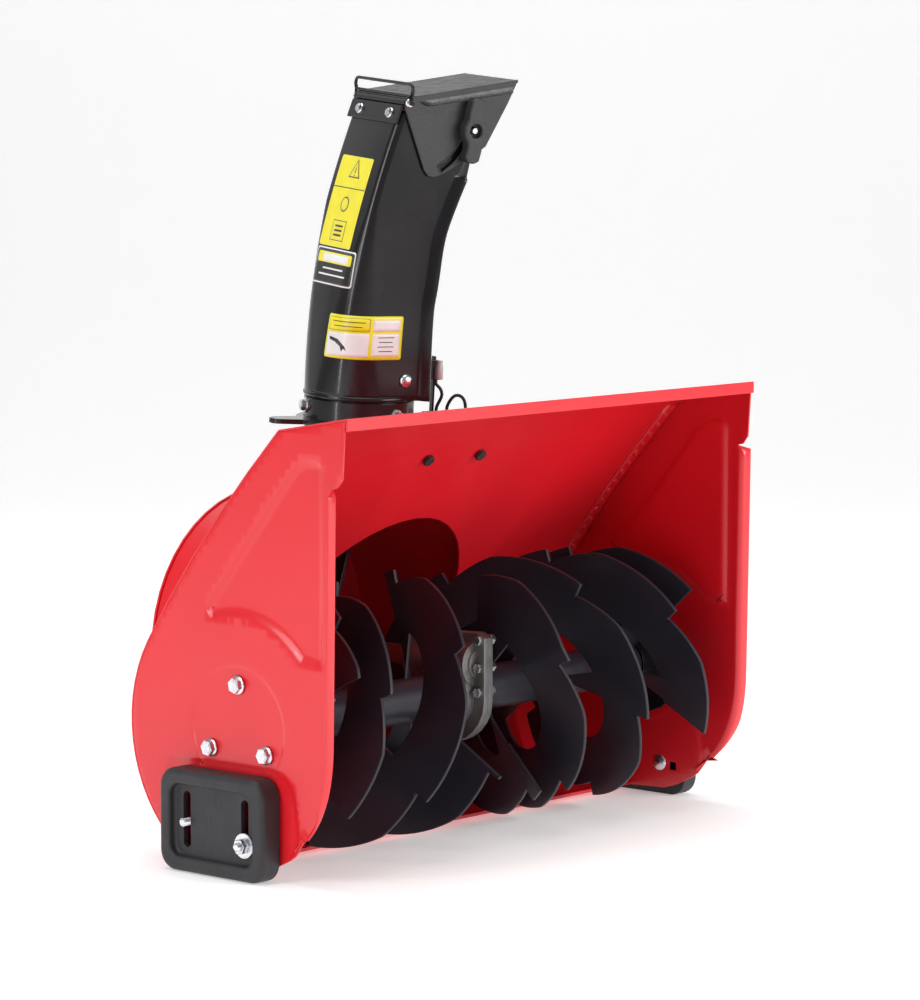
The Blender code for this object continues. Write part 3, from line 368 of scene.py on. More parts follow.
def painted(name, colour, roughness, tint=None, gloss=None, grain=(), **shader):
    """A material. tint: noise, second colour; gloss: noise, low, high; grain rows: pattern, its facts, depth."""
    paint = Paint(name, colour, roughness, **shader)
    if tint:
        noise, other = tint
        paint.vary_colour(paint.noise(*noise), other)
    if gloss:
        noise, low, high = gloss
        paint.vary_roughness(paint.noise(*noise), low, high)
    patterns = {"noise": paint.noise, "cells": paint.cells}
    paint.bump(*[(patterns[pattern](*facts), depth) for pattern, facts, depth in grain])
    return paint.material


def hood_plastic(name, gloss):
    """Moulded plastic with a fine leather-like grain."""
    return painted(name, (0.020, 0.020, 0.022), 0.42, ((18.0,), (0.026, 0.026, 0.028)),
                   ((90.0, 5.0), gloss, gloss + 0.14),
                   [("cells", (700.0,), 0.00010), ("noise", (160.0, 3.0), 0.00012)], level=0.45)


def label_ink(name, colour):
    """Printed vinyl."""
    return painted(name, colour, 0.34, ((60.0,), tuple(0.93 * c for c in colour)), None,
                   [("noise", (500.0, 2.0), 0.00002)], coat=0.3, coat_roughness=0.1)


# Glossy powder coat with a faint orange peel
RED = painted("gloss_red", (0.76, 0.010, 0.020), 0.34, ((9.0,), (0.72, 0.011, 0.020)), ((14.0, 2.0), 0.28, 0.36),
              [("noise", (160.0, 2.0), 0.00002)], coat=0.35, coat_roughness=0.10)
# Deep gloss black on pressed steel
BLACK = painted("gloss_black", (0.007, 0.0066, 0.008), 0.20, ((14.0,), (0.014, 0.013, 0.015)),
                ((18.0, 2.0), 0.16, 0.24), [("noise", (140.0, 2.0), 0.00002)], coat=0.15, level=0.34)
# Near-black navy enamel, a little duller, with dust in the grain
AUGER = painted("auger_black", (0.019, 0.0185, 0.027), 0.36, ((22.0, 2.0), (0.024, 0.023, 0.032)),
                ((30.0, 3.0), 0.30, 0.44), [("noise", (140.0, 2.0), 0.00003)], level=0.32)
HOOD = hood_plastic("hood_plastic", 0.36)
# Matt charcoal polymer with a pebbled surface and light scuffs
SKID = painted("skid_polymer", (0.030, 0.030, 0.033), 0.46, ((26.0, 6.0), (0.037, 0.037, 0.040)),
               ((60.0, 6.0, (1, 5, 1)), 0.42, 0.60),
               [("cells", (520.0,), 0.00009), ("noise", (110.0, 4.0), 0.00012)], level=0.36)
# Bright zinc plate with slight cloudiness
ZINC = painted("zinc_plate", (0.80, 0.81, 0.84), 0.24, ((160.0, 4.0), (0.66, 0.68, 0.73)),
               ((240.0, 4.0), 0.18, 0.36), [("noise", (900.0, 2.0), 0.00002)], metallic=1.0)
# Turned bare steel
STEEL = painted("bare_steel", (0.46, 0.46, 0.47), 0.34, None, ((300.0, 4.0, (8, 1, 1)), 0.26, 0.44),
                [("noise", (500.0, 2.0, (10, 1, 1)), 0.00003)], metallic=1.0)
# Sand-grained casting
CAST = painted("cast_alloy", (0.30, 0.295, 0.29), 0.46, ((60.0, 5.0), (0.22, 0.215, 0.21)),
               ((200.0, 4.0), 0.40, 0.62),
               [("noise", (700.0, 4.0), 0.00018), ("noise", (110.0, 2.0), 0.0004)], metallic=0.75)
BRONZE = painted("worm_bronze", (0.45, 0.29, 0.12), 0.38, ((120.0, 4.0), (0.36, 0.22, 0.09)), None,
                 [("noise", (600.0, 2.0), 0.00004)], metallic=1.0)
RUBBER = painted("cable_sheath", (0.012, 0.012, 0.013), 0.46, None, ((200.0, 3.0), 0.38, 0.55),
                 [("noise", (900.0, 2.0), 0.00005)])
YELLOW = label_ink("label_yellow", (0.88, 0.78, 0.020))
HOOD_GLOSS = hood_plastic("hood_edge_gloss", 0.22)
FERRULE = label_ink("ferrule_grey", (0.55, 0.55, 0.56))
WHITE = label_ink("label_white", (0.85, 0.85, 0.85))
INK = label_ink("label_ink", (0.012, 0.012, 0.012))
SLOT_FINISH = {
    "red_paint": RED,
    "black_paint": BLACK,
    "auger_paint": AUGER,
    "black_plastic": HOOD,
    "skid_plastic": SKID,
    "zinc": ZINC,
    "steel": STEEL,
    "cast_aluminium": CAST,
    "bronze": BRONZE,
    "cable_black": RUBBER,
}


# CAD nodes that keep their shape


EDGE_WIDTH = {"housing_back_sheet": 0.0004, "wing_knob": 0.0016, "deflector": 0.0006}


def finish_nodes():
    for name, node in NODES.items():
        slot = node.data.materials[0].name.split(".")[0]
        finish_node(name, SLOT_FINISH[slot], EDGE_WIDTH.get(name, 0.0005))


# Side plates


def slant_point(start, control, end, t):
    weights = ((1 - t) ** 2, 2 * t * (1 - t), t * t)
    return tuple(sum(w * q[k] for w, q in zip(weights, (start, control, end))) for k in (0, 1))


def wrap_path(inset, fine=4):
    """The back of the housing in side view: roof, bowed slanted back and round belly, moved in by inset."""
    corner = (ROOF_BACK[0] - 0.483 * inset, ROOF_BACK[1] - 0.931 * inset)
    control = (SLANT_CONTROL[0] - 0.782 * inset, SLANT_CONTROL[1] - 0.633 * inset)
    front = (ROOF_FRONT[0], ROOF_FRONT[1] - inset)
    belly = arc(HOUSING_CENTRE, HOUSING_RADIUS - inset, BELLY_START, -62, 16 * fine)
    slant = [slant_point(corner, control, belly[0], t / (5 * fine)) for t in range(1, 5 * fine)]
    return [front, corner] + slant + belly


BEND_RADIUS = 0.0050
FLANGE_REACH = 0.0080
PANEL_DEPTH = 0.0030
PANEL_SLOPE = 0.0095
DISC_RADIUS = 0.0600
DISC_DEPTH = 0.0011
POCKET_DEPTH = 0.0016
DEEPEST_DENT = 0.0018
PLATE_GRID = 0.008
CLEAR = 0.0009
WRAP_INSET = SHEET + SEAT_GAP


def front_curve():
    """The flange's front face in side view: down the mouth and round its lower corner."""
    corner = bezier([(0.0100, 0.130), (0.0115, 0.092), (0.021, 0.066), (0.0410, 0.0440)], 28)
    return evenly([(0.0062, 0.3672), (0.0080, 0.250), (0.0100, 0.130)], 0.006)[:-1] + corner


def normals_of(path):
    found = []
    for i in range(len(path)):
        before, after = Vector(path[max(i - 1, 0)]), Vector(path[min(i + 1, len(path) - 1)])
        along = (after - before).normalized()
        found.append(Vector((-along.y, along.x)))
    return found


def bend_line():
    """Where the flat face starts to turn into the front flange."""
    path = front_curve()
    depth = BEND_RADIUS + SHEET / 2
    return [tuple(Vector(p) + n * depth) for p, n in zip(path, normals_of(path))]


def flange_length(i, count):
    """How much sheet there is beyond the bend line at a point along it."""
    full = BEND_RADIUS * math.pi / 2 + FLANGE_REACH
    left = smooth((count - 1 - i) / 16)
    return full * (0.30 + 0.70 * left)


def rounded_corners(corners, steps=8):
    """A closed outline from (y, z, radius) corners, each turned by an arc-like curve."""
    found = []
    count = len(corners)
    for i, (y, z, radius) in enumerate(corners):
        here = Vector((y, z))
        before = Vector(corners[i - 1][:2])
        after = Vector(corners[(i + 1) % count][:2])
        if radius == 0:
            found.append((y, z))
            continue
        one = here + (before - here).normalized() * radius
        two = here + (after - here).normalized() * radius
        found += [slant_point(one, here, two, t / steps) for t in range(steps + 1)]
    return found


def panel_shape():
    """The pressed panel: a tall rounded triangle whose foot follows the auger's circle."""
    foot = arc((AUGER_Y, AUGER_Z), 0.1050, 68, 142, 24)
    corners = [(0.1790, 0.2470, 0.010)] + [(y, z, 0) for y, z in foot[1:-1]]
    corners += [(0.0245, 0.2020, 0.012), (0.0245, 0.3950, 0.012), (0.0560, 0.3950, 0.016)]
    return evenly(rounded_corners(corners), 0.0025, closed=True)


def pocket_shape():
    """The slight set-in behind the skid shoe, which reaches past its top and front."""
    corners = [(0.2300, 0.1060, 0.02), (0.0780, 0.1060, 0.014), (0.0600, 0.0900, 0.014), (0.0520, 0.0300, 0.02)]
    corners += [(0.0850, 0.0000, 0.01), (0.2300, 0.0000, 0.02)]
    return evenly(rounded_corners(corners), 0.004, closed=True)


def nearest_edge(spot, edges):
    """The gap to a spot from the nearest of several edges, where it starts, and that edge's direction."""
    best = None
    for a, b in edges:
        along = b - a
        t = min(max((spot - a).dot(along) / along.length_squared, 0.0), 1.0)
        gap = spot - a - along * t
        if best is None or gap.length < best[0].length:
            best = (gap, a + along * t, along)
    return best


class Region:
    """A closed outline with a signed distance, positive inside."""

    def __init__(self, outline):
        self.points = [Vector(p) for p in outline]
        self.edges = list(zip(self.points, self.points[1:] + self.points[:1]))
        self.turn = 1 if sum(a.cross(b) for a, b in self.edges) > 0 else -1

    def inside(self, y, z):
        odd = False
        for a, b in self.edges:
            if (a.y > z) != (b.y > z) and y < (b.x - a.x) * (z - a.y) / (b.y - a.y) + a.x:
                odd = not odd
        return odd

    def distance(self, y, z):
        nearest = nearest_edge(Vector((y, z)), self.edges)[0].length
        return nearest if self.inside(y, z) else -nearest

    def contour(self, depth):
        found = []
        count = len(self.points)
        for i, point in enumerate(self.points):
            along = (self.points[(i + 1) % count] - self.points[i - 1]).normalized()
            found.append(tuple(point + self.turn * depth * Vector((-along.y, along.x))))
        return found


def hole(centre, radius, steps=20):
    return arc(centre, radius, 0, 360 - 360 / steps, steps - 1)


def plate_holes():
    """Round the auger's end, its three bolts, the skid bolts and the small square hole."""
    holes = []
    for n in (1, 2, 3):
        _, y, z = middle_of(f"end_bolt_right_{n}")
        holes.append(hole((y - MOUTH_Y, z), 0.0043))
    holes += [hole(spot, 0.0045) for spot in SKID_BOLTS]
    y, z = SKID_BOLTS[0][0] - 0.0175, SKID_BOLTS[0][1] - 0.002
    h = 0.00425
    holes.append([(y - h, z - h), (y + h, z - h), (y + h, z + h), (y - h, z + h)])
    return holes


def pressed_plate(side):
    """One side plate: a single sheet with its pressed panel, disc, skid pocket and front flange bent out of it."""
    hand = hand_of(side)
    bend = bend_line()
    count = len(bend)
    outward = normals_of(front_curve())
    edge = wrap_path(WRAP_INSET)
    rim = [(-0.0035, edge[0][1])] + edge[1:] + [(0.150, 0.0055)]
    rim += [(0.1040, 0.0072), (0.0880, 0.0122), (0.0680, 0.0220), (0.0540, 0.0320), (0.0440, 0.0405)]

    def on_flange(i, share):
        return tuple(Vector(bend[i]) - outward[i] * flange_length(i, count) * share)

    border = [on_flange(i, 1.0) for i in range(count - 1, -1, -1)]
    notch = [(0.0130, 0.3690), (0.0060, 0.3705), (0.0, 0.3785)]
    rim = evenly(rim, 0.004)
    border[-1] = tuple(Vector(border[-1]) + Vector((0.0, -0.003)))
    outline = rim + border + notch
    panel, pocket, sheet = Region(panel_shape()), Region(pocket_shape()), Region(outline)
    holes = [Region(h) for h in plate_holes()]
    points = list(outline)
    loops = [list(range(len(outline)))]
    for region in holes:
        start = len(points)
        points += [tuple(p) for p in region.points]
        loops.append(list(range(start, len(points))))
    edges = [(loop[i - 1], loop[i]) for loop in loops for i in range(len(loop))]
    extra = []
    for depth in (0.0, 0.0016, 0.0032, 0.0048, 0.0064, 0.0080, 0.0096):
        extra += panel.contour(depth)
    for radius in (0.0608, 0.0600, 0.0590, 0.0578, 0.0568):
        extra += hole((AUGER_Y, AUGER_Z), radius, 120)
    for depth in (0.0, 0.002, 0.004, 0.006):
        extra += pocket.contour(depth)
    for share in (0.0, 0.12, 0.24, 0.36, 0.48, 0.62, 0.8):
        extra += [on_flange(i, share) for i in range(count)]
    line = [Vector(p) for p in bend]
    for i in range(-1, 36):
        for j in range(0, 56):
            spot = Vector((i * PLATE_GRID + 0.0011, j * PLATE_GRID + 0.0007))
            if spot.x > 0.06 or spot.y > line[0].y or past_bend(spot, line)[2] < -0.002:
                extra.append(tuple(spot))
    for p in extra:
        if sheet.distance(*p) >= CLEAR and all(h.distance(*p) <= -CLEAR for h in holes):
            points.append(p)

    def on_sheet(y, z):
        return sheet.inside(y, z) and not any(h.inside(y, z) for h in holes)

    bm = filled(points, edges, lambda v: plate_point(v, line, panel, pocket, side), on_sheet)
    plate = piece(f"plate_{hand}", bm, RED, "housing", 50.0, recalc=False)
    thicken(plate, SHEET, 0.0)
    soften(plate, "edge", 0.0004, 2, 60)
    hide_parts(f"side_plate_{hand}")
    return plate


def past_bend(v, line):
    """The nearest point of the bend line, the gap from it, and how far past it towards the mouth a point is."""
    gap, foot, along = nearest_edge(v, zip(line, line[1:]))
    return foot, gap, gap.dot(Vector((along.y, -along.x)).normalized())


def plate_point(v, line, panel, pocket, side):
    """Where a point of the flat pattern ends up: pressed inward, or bent round into the flange."""
    y, z = v
    if y < 0.06:
        foot, gap, beyond = past_bend(v, line)
        if beyond > 0 and z < line[0].y + 0.001:
            turn = min(beyond / BEND_RADIUS, math.pi / 2)
            forward = BEND_RADIUS * math.sin(turn)
            out = BEND_RADIUS * (1 - math.cos(turn)) + max(beyond - BEND_RADIUS * math.pi / 2, 0.0)
            spot = foot + gap.normalized() * forward
            return (side * (SIDE_X - SHEET / 2 + out), MOUTH_Y + spot.x, spot.y)
    depth = PANEL_DEPTH * eased(panel.distance(y, z) / PANEL_SLOPE)
    radius = math.hypot(y - AUGER_Y, z - AUGER_Z)
    dent = DISC_DEPTH * smooth((DISC_RADIUS + 0.0008 - radius) / 0.0040)
    dent += POCKET_DEPTH * smooth(pocket.distance(y, z) / 0.006)
    depth += min(dent, DEEPEST_DENT)
    return (side * (SIDE_X - SHEET / 2 - depth), MOUTH_Y + y, z)


def weld_flange(side):
    """The inward flange along the back, spot welded to the wrapped sheet."""
    hand = hand_of(side)
    path = wrap_path(WRAP_INSET)[2:]
    rows = []
    for (y, z), n in zip(path, normals_of(path)):
        row = [(side * (SIDE_X - inset), MOUTH_Y + y, z) for inset in (0.020, 0.012, 0.006, 0.0035)]
        rows.append(row + [(side * (SIDE_X - 0.0016), MOUTH_Y + y + n.x * 0.0006, z + n.y * 0.0006)])
    strip = piece(f"weld_flange_{hand}", sheet_from_grid(rows), RED, "housing", 50.0)
    thicken(strip, SHEET, 0.0)
    return strip


# Chute


def chute_place(x, y, z):
    return CHUTE_FRAME @ Vector((x, y, z))


def chute_way(x, y, z):
    """A direction in the chute's frame, turned into the model's."""
    return CHUTE_FRAME.to_3x3() @ Vector((x, y, z))


BACK_LEAN = 0.058
BACK_BOW = 0.517


def chute_back(z):
    """How far forward the back wall has come at a height."""
    return -CHUTE_RADIUS + BACK_LEAN * z + BACK_BOW * z * z


CREASE_SPOTS = ((0.0, 0.0355), (0.086, 0.0365), (0.114, 0.0405), (0.161, 0.0470), (0.195, 0.0590), (0.226, 0.0720),
                (0.4, 0.15))


def chute_crease(z):
    """How far forward each side wall's front crease is at a height, read from a smooth curve."""
    spots = CREASE_SPOTS
    z = max(z, 0.0)
    for i in range(len(spots) - 1):
        (low, one), (high, two) = spots[i], spots[i + 1]
        if z <= high:
            before = spots[max(i - 1, 0)]
            after = spots[min(i + 2, len(spots) - 1)]
            t = (z - low) / (high - low)
            rise_one = (two - before[1]) / (high - before[0]) * (high - low)
            rise_two = (after[1] - one) / (after[0] - low) * (high - low)
            keep = (1 + 2 * t) * (1 - t) ** 2
            return one * keep + two * (1 - keep) + rise_one * t * (1 - t) ** 2 - rise_two * t * t * (1 - t)
    return spots[-1][1]


def chute_section(z):
    """The U of the chute's wall in plan, from one front edge to the other."""
    rise = min(max(z / 0.190, 0.0), 1.0)
    half = CHUTE_RADIUS - (CHUTE_RADIUS - CHUTE_TOP_HALF) * rise
    corner = half - 0.004 - (half - 0.012) * rise
    back = chute_back(max(z, 0.0))
    front = chute_crease(z)
    if z < FLARE_TOP:
        edge = (front + 0.0088, -half - 0.0088)
    else:
        edge = (0.0830 + (z - 0.226) * 0.20, -half)
        front = min(front, edge[0] - 0.006)
    middle = front * 0.4 + (back + corner) * 0.6
    side = [edge, (front, -half), ((front + middle) / 2, -half), (middle, -half)]
    points = side + arc((back + corner, -half + corner), corner, 270, 180, 16)
    return points + [(x, -y) for x, y in points[::-1]]


def steps_between(low, high, spacing):
    count = max(1, round((high - low) / spacing))
    return [low + (high - low) * i / count for i in range(count + 1)]


def chute_shell():
    """The bent wall with its outward front flanges, and the rolled bead where it stands on its collar."""
    levels = steps_between(-0.001, FLARE_TOP - 0.0008, 0.006) + steps_between(FLARE_TOP + 0.0008, 0.2845, 0.006)
    rows = [[chute_place(x, y, z) for x, y in chute_section(z)] for z in levels]
    bm = sheet_from_grid(rows)
    bmesh.ops.recalc_face_normals(bm, faces=bm.faces)
    back_face = min(bm.faces, key=lambda f: (f.calc_center_median() - chute_place(-0.08, 0, 0.1)).length)
    face_out(bm, back_face, chute_place(0, 0, 0.1))
    shell = piece("chute_shell", bm, BLACK, "chute", 50.0, recalc=False)
    soften(shell, "crease", 0.0016, 3, 28)
    thicken(shell, SHEET, -1.0)
    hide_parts("discharge_chute")
    out = CHUTE_RADIUS + 0.0030
    bead = arc((out - 0.0028, 0.0002), 0.0028, -90, 90, 8)
    foot = [(CHUTE_RADIUS - 0.0050, -0.0200), (CHUTE_RADIUS - 0.0020, -0.0200), (CHUTE_RADIUS - 0.0020, -0.0026)]
    foot += bead + [(CHUTE_RADIUS - 0.0050, 0.0045)]
    rows = []
    for k in range(96):
        turn = 2 * math.pi * k / 96
        rows.append([chute_place(r * math.cos(turn), r * math.sin(turn), z) for r, z in foot])
    bm = sheet_from_grid([list(row) for row in zip(*rows)] + [[row[0] for row in rows]], closed=True)
    bmesh.ops.remove_doubles(bm, verts=bm.verts, dist=0.00001)
    piece("chute_bead", bm, BLACK, "chute", 45.0)


def plated(name, bm, place, body, crease):
    """A zinc-plated piece, moved to its place."""
    made = piece(name, moved(bm, place), ZINC, body, crease)
    return made


def hex_bolt(name, place, direction, body, across, head, washer=0.0, spin=0.0, shank=0.0):
    """A flanged hexagon head, seated on a surface, with the end of its thread where that shows."""
    radius = across / 2 / math.cos(math.pi / 6)
    parts = []
    bm = bmesh.new()
    bmesh.ops.create_circle(bm, cap_ends=True, radius=radius, segments=6)
    moved_up = bmesh.ops.extrude_face_region(bm, geom=list(bm.faces))
    tops = [v for v in moved_up["geom"] if isinstance(v, bmesh.types.BMVert)]
    bmesh.ops.translate(bm, vec=(0, 0, head), verts=tops)
    bmesh.ops.bevel(bm, geom=[e for e in bm.edges if all(v in tops for v in e.verts)], offset=0.0006, segments=2,
                    affect="EDGES")
    parts.append(bm)
    flange = across * 0.66 if washer == 0.0 else washer
    parts.append(spun([(0, -0.0004), (flange, -0.0004), (flange, 0.0008), (flange * 0.86, 0.0016), (0, 0.0018)], 32))
    dish = [(0, head - 0.0002), (radius * 0.62, head - 0.0002), (radius * 0.66, head + 0.0003), (0, head + 0.0004)]
    parts.append(spun(dish, 24))
    if shank:
        rows = [(0, -shank - 0.0003)]
        for k in range(int(shank / THREAD_PITCH) + 1):
            low = -shank + k * THREAD_PITCH
            rows += [(0.0033, low), (0.0040, low + 0.0006)]
        parts.append(spun(rows + [(0.0036, 0.0), (0, 0.0)], 18))
    return plated(name, joined(*parts), standing(place, direction, spin), body, 35.0)


def dome_bolt(name, place, direction, body, radius=0.0068, height=0.0042):
    """A round-head rivet or carriage bolt."""
    profile = [(0, -0.0005), (radius, -0.0005), (radius, 0.0006)]
    for turn in [math.radians(t) for t in range(15, 90, 15)]:
        profile.append((radius * math.cos(turn), 0.0006 + height * math.sin(turn)))
    profile += [(0, 0.0006 + height)]
    return plated(name, spun(profile, 32), standing(place, direction), body, 50.0)


def surface_line(z, lift):
    """The chute's outer line in plan, lifted off the wall, and each point's distance from the back's middle."""
    points = chute_section(z)
    lifted = [Vector(p) + n * lift for p, n in zip(points, normals_of(points))]
    middle = len(points) // 2
    run = [0.0]
    for a, b in zip(points, points[1:]):
        run.append(run[-1] + (Vector(b) - Vector(a)).length)
    zero = (run[middle - 1] + run[middle]) / 2
    return [r - zero for r in run], lifted


def on_chute(s, z, lift):
    """The point at a distance round the wall from the back's middle, towards the near side where s is negative."""
    run, line = surface_line(z, lift)
    for i in range(len(run) - 1):
        if run[i] <= s <= run[i + 1]:
            spot = line[i].lerp(line[i + 1], (s - run[i]) / (run[i + 1] - run[i]))
            return chute_place(spot.x, spot.y, z)
    return chute_place(line[0].x, line[0].y, z)


LABEL_LIFT = 0.00035
LABEL_LAYER = 0.00012
LABEL_THICK = 0.00022
LABEL_GRID = 0.003


def label(name, material, s_range, z_range, layer=0, corner=0.0025):
    """A sticker with round corners that follows the chute's wall."""
    width, height = s_range[1] - s_range[0], z_range[1] - z_range[0]
    outline = round_rectangle(width / 2 - corner, height / 2 - corner, corner, 5)
    return decal(name, material, outline, s_range, z_range, layer)


def decal(name, material, outline, s_range, z_range, layer):
    """A flat outline round the origin, laid on the chute's wall between two distances and two heights."""
    s_mid, z_mid = (s_range[0] + s_range[1]) / 2, (z_range[0] + z_range[1]) / 2
    outline = evenly(outline, LABEL_GRID, closed=True)
    region = Region(outline)
    points = list(outline)
    edges = [(i - 1 if i else len(outline) - 1, i) for i in range(len(outline))]
    reach_s = int((s_range[1] - s_range[0]) / LABEL_GRID) + 2
    reach_z = int((z_range[1] - z_range[0]) / LABEL_GRID) + 2
    for i in range(-reach_s, reach_s):
        for j in range(-reach_z, reach_z):
            spot = (i * LABEL_GRID + 0.0007, j * LABEL_GRID + 0.0004)
            if region.distance(*spot) > 0.0010:
                points.append(spot)
    lift = LABEL_LIFT + LABEL_LAYER * layer
    bm = filled(points, edges, lambda v: on_chute(s_mid - v.x, z_mid + v.y, lift), region.inside)
    face_out(bm, bm.faces[0], chute_place(0.0, 0.0, z_mid))
    sticker = piece(name, bm, material, "chute", 60.0, recalc=False)
    thicken(sticker, LABEL_THICK, -1.0)
    return sticker


def bar(width, height):
    return [(a * width / 2, b * height / 2) for a, b in ((1, 1), (-1, 1), (-1, -1), (1, -1))]


def triangle(size):
    return [(size * math.cos(math.radians(t)), size * math.sin(math.radians(t))) for t in (90, 210, 330)]


def label_lines(name, material, widths, height, s_range, first, step, layer):
    """Plain bars one above the other, where a sticker would have its lines."""
    for n, width in enumerate(widths):
        z = first + step * n
        decal(f"{name}_{n + 1}", material, bar(width, height), s_range, (z - 0.002, z + 0.002), layer)


def chute_labels():
    """Plain stickers with neutral marks: triangle and disc above, bars below; no wording."""
    top_s, sign_s, mid_s = (-0.0275, 0.0350), (-0.016, 0.018), (-0.010, 0.018)
    sign_z, disc_z, box_z = (0.2060, 0.2350), (0.1800, 0.1960), (0.1520, 0.1720)
    label("label_upper", YELLOW, top_s, (0.1460, 0.2350))
    for name, material, outline, s_range, z_range, layer in (
        ("triangle", INK, triangle(0.0125), sign_s, sign_z, 1),
        ("triangle_field", YELLOW, triangle(0.0100), sign_s, sign_z, 2),
        ("mark", INK, bar(0.0012, 0.0060), sign_s, (0.2072, 0.2362), 3),
        ("point", INK, hole((0, 0), 0.0008, 12), sign_s, (0.2022, 0.2312), 3),
        ("divider", INK, bar(0.0610, 0.0009), top_s, (0.1990, 0.2090), 1),
        ("disc", INK, hole((0, 0), 0.0075, 28), mid_s, disc_z, 1),
        ("disc_field", YELLOW, hole((0, 0), 0.0062, 28), mid_s, disc_z, 2),
        ("box", INK, bar(0.0260, 0.0200), mid_s, box_z, 1),
        ("box_field", YELLOW, bar(0.0245, 0.0185), mid_s, box_z, 2),
    ):
        decal(f"label_upper_{name}", material, outline, s_range, z_range, layer)
    label_lines("label_upper_bar", INK, (0.0150, 0.0150, 0.0150), 0.0020, mid_s, 0.1575, 0.0045, 3)

    low_s = (-0.0400, 0.0345)
    label("label_dark_border", WHITE, low_s, (0.1090, 0.1445))
    label("label_dark_field", INK, (-0.0386, 0.0331), (0.1104, 0.1431), 1)
    label("label_dark_band", YELLOW, (-0.0355, 0.0300), (0.1300, 0.1405), 2, 0.002)
    label("label_dark_window", WHITE, (-0.0300, 0.0200), (0.1315, 0.1390), 3, 0.001)
    label_lines("label_dark_line", WHITE, (0.040, 0.052), 0.0016, low_s, 0.1245, -0.0060, 2)

    panel_s, title_s = (-0.0975, -0.0675), (-0.0640, -0.0180)
    label("label_wide", YELLOW, (-0.1005, -0.0150), (0.0400, 0.0830))
    label("label_wide_window", WHITE, (-0.0640, -0.0175), (0.0425, 0.0655), 1, 0.001)
    label("label_wide_top", INK, title_s, (0.0675, 0.0805), 1, 0.002)
    label("label_wide_top_field", YELLOW, (-0.0636, -0.0184), (0.0679, 0.0801), 2, 0.002)
    label("label_wide_panel_1", WHITE, panel_s, (0.0680, 0.0790), 1, 0.0015)
    label("label_wide_panel_2", WHITE, panel_s, (0.0435, 0.0655), 1, 0.0015)
    arrow = [(-0.0170, 0.0060), (-0.0060, 0.0040), (0.0020, -0.0030), (0.0040, -0.0070), (0.0010, -0.0050)]
    arrow += [(-0.0010, -0.0080), (-0.0030, -0.0030), (-0.0090, 0.0010), (-0.0170, 0.0030)]
    decal("label_wide_arrow", INK, arrow, (-0.0560, -0.0200), (0.0450, 0.0650), 2)
    label_lines("label_wide_line", INK, (0.0180, 0.0150, 0.0180, 0.0150), 0.0008, panel_s, 0.0620, -0.0045, 2)
    label_lines("label_wide_top_line", INK, (0.036, 0.030), 0.0008, title_s, 0.0765, -0.0045, 3)


def chute_hardware():
    """Two bolts on the hinge bracket and a rivet in the side wall."""
    z = 0.2812
    slope = BACK_LEAN + 2 * BACK_BOW * z
    out = chute_way(-1.0, 0.0, slope).normalized()
    for n, y in enumerate((0.0285, -0.0315)):
        spot = chute_place(chute_back(z) - 0.0026, y, z)
        hex_bolt(f"bracket_bolt_{n + 1}", spot, out, "chute", across=0.0080, head=0.0036, spin=15.0 * n)
    dome_bolt("wall_rivet", chute_place(0.0215, -0.0534, 0.0190), chute_way(0, -1, 0), "chute")


# Auger


AUGER_AXIS = Vector((0.0, MOUTH_Y + AUGER_Y, AUGER_Z))
TIP_RADIUS = 0.1275
ROOT_RADIUS = 0.1140
RIBBON_INNER = 0.068
RIBBON_THICK = 0.004
RIBBON_PITCH = 0.240
TOOTH_DEGREES = 68.4
TOOTH_RAMP = 24.0
ARM_HALF = 10.7
TUBE_RADIUS = 0.022
# side, number, helix line at angle 0, first x, last x, angle of one notch, lead-in, first arm after the start
RIBBONS = (
    (1, 1, 0.046, 0.0295, 0.258, 17.5, 60, 33),
    (1, 2, 0.143, 0.0295, 0.258, -15.0, 30, -14),
    (1, 3, 0.239, 0.0295, 0.258, 32.0, 0, -14),
    (-1, 1, 0.035, 0.055, 0.258, -32.0, 0, -14),
    (-1, 2, 0.127, 0.055, 0.258, 31.0, 0, -14),
    (-1, 3, 0.233, 0.055, 0.258, 16.0, 0, -14),
)


def tooth_radius(angle, notch):
    """Outer radius of a ribbon at an angle: a step down at each notch, a short ramp, then the full radius."""
    past = (notch - angle) % TOOTH_DEGREES
    return ROOT_RADIUS + (TIP_RADIUS - ROOT_RADIUS) * min(past / TOOTH_RAMP, 1.0)


def ribbon_angles(start, end, notch, arms, step=2.5):
    """Every angle where a ribbon needs a point: an even grid, both sides of each notch, and the arms' sides."""
    found = {start - step * i for i in range(int((start - end) / step) + 1)} | {end}
    first = math.ceil((end - notch) / TOOTH_DEGREES)
    last = math.floor((start - notch) / TOOTH_DEGREES)
    for n in range(first, last + 1):
        tooth = notch + n * TOOTH_DEGREES
        found = {angle for angle in found if abs(angle - tooth) > 1.2} | {tooth + 0.6, tooth - 0.01}
    for arm in arms:
        for side in (arm + ARM_HALF, arm - ARM_HALF):
            found = {angle for angle in found if abs(angle - side) > 0.9} | {side + 0.5, side - 0.5}
    return sorted((angle for angle in found if end <= angle <= start), reverse=True)


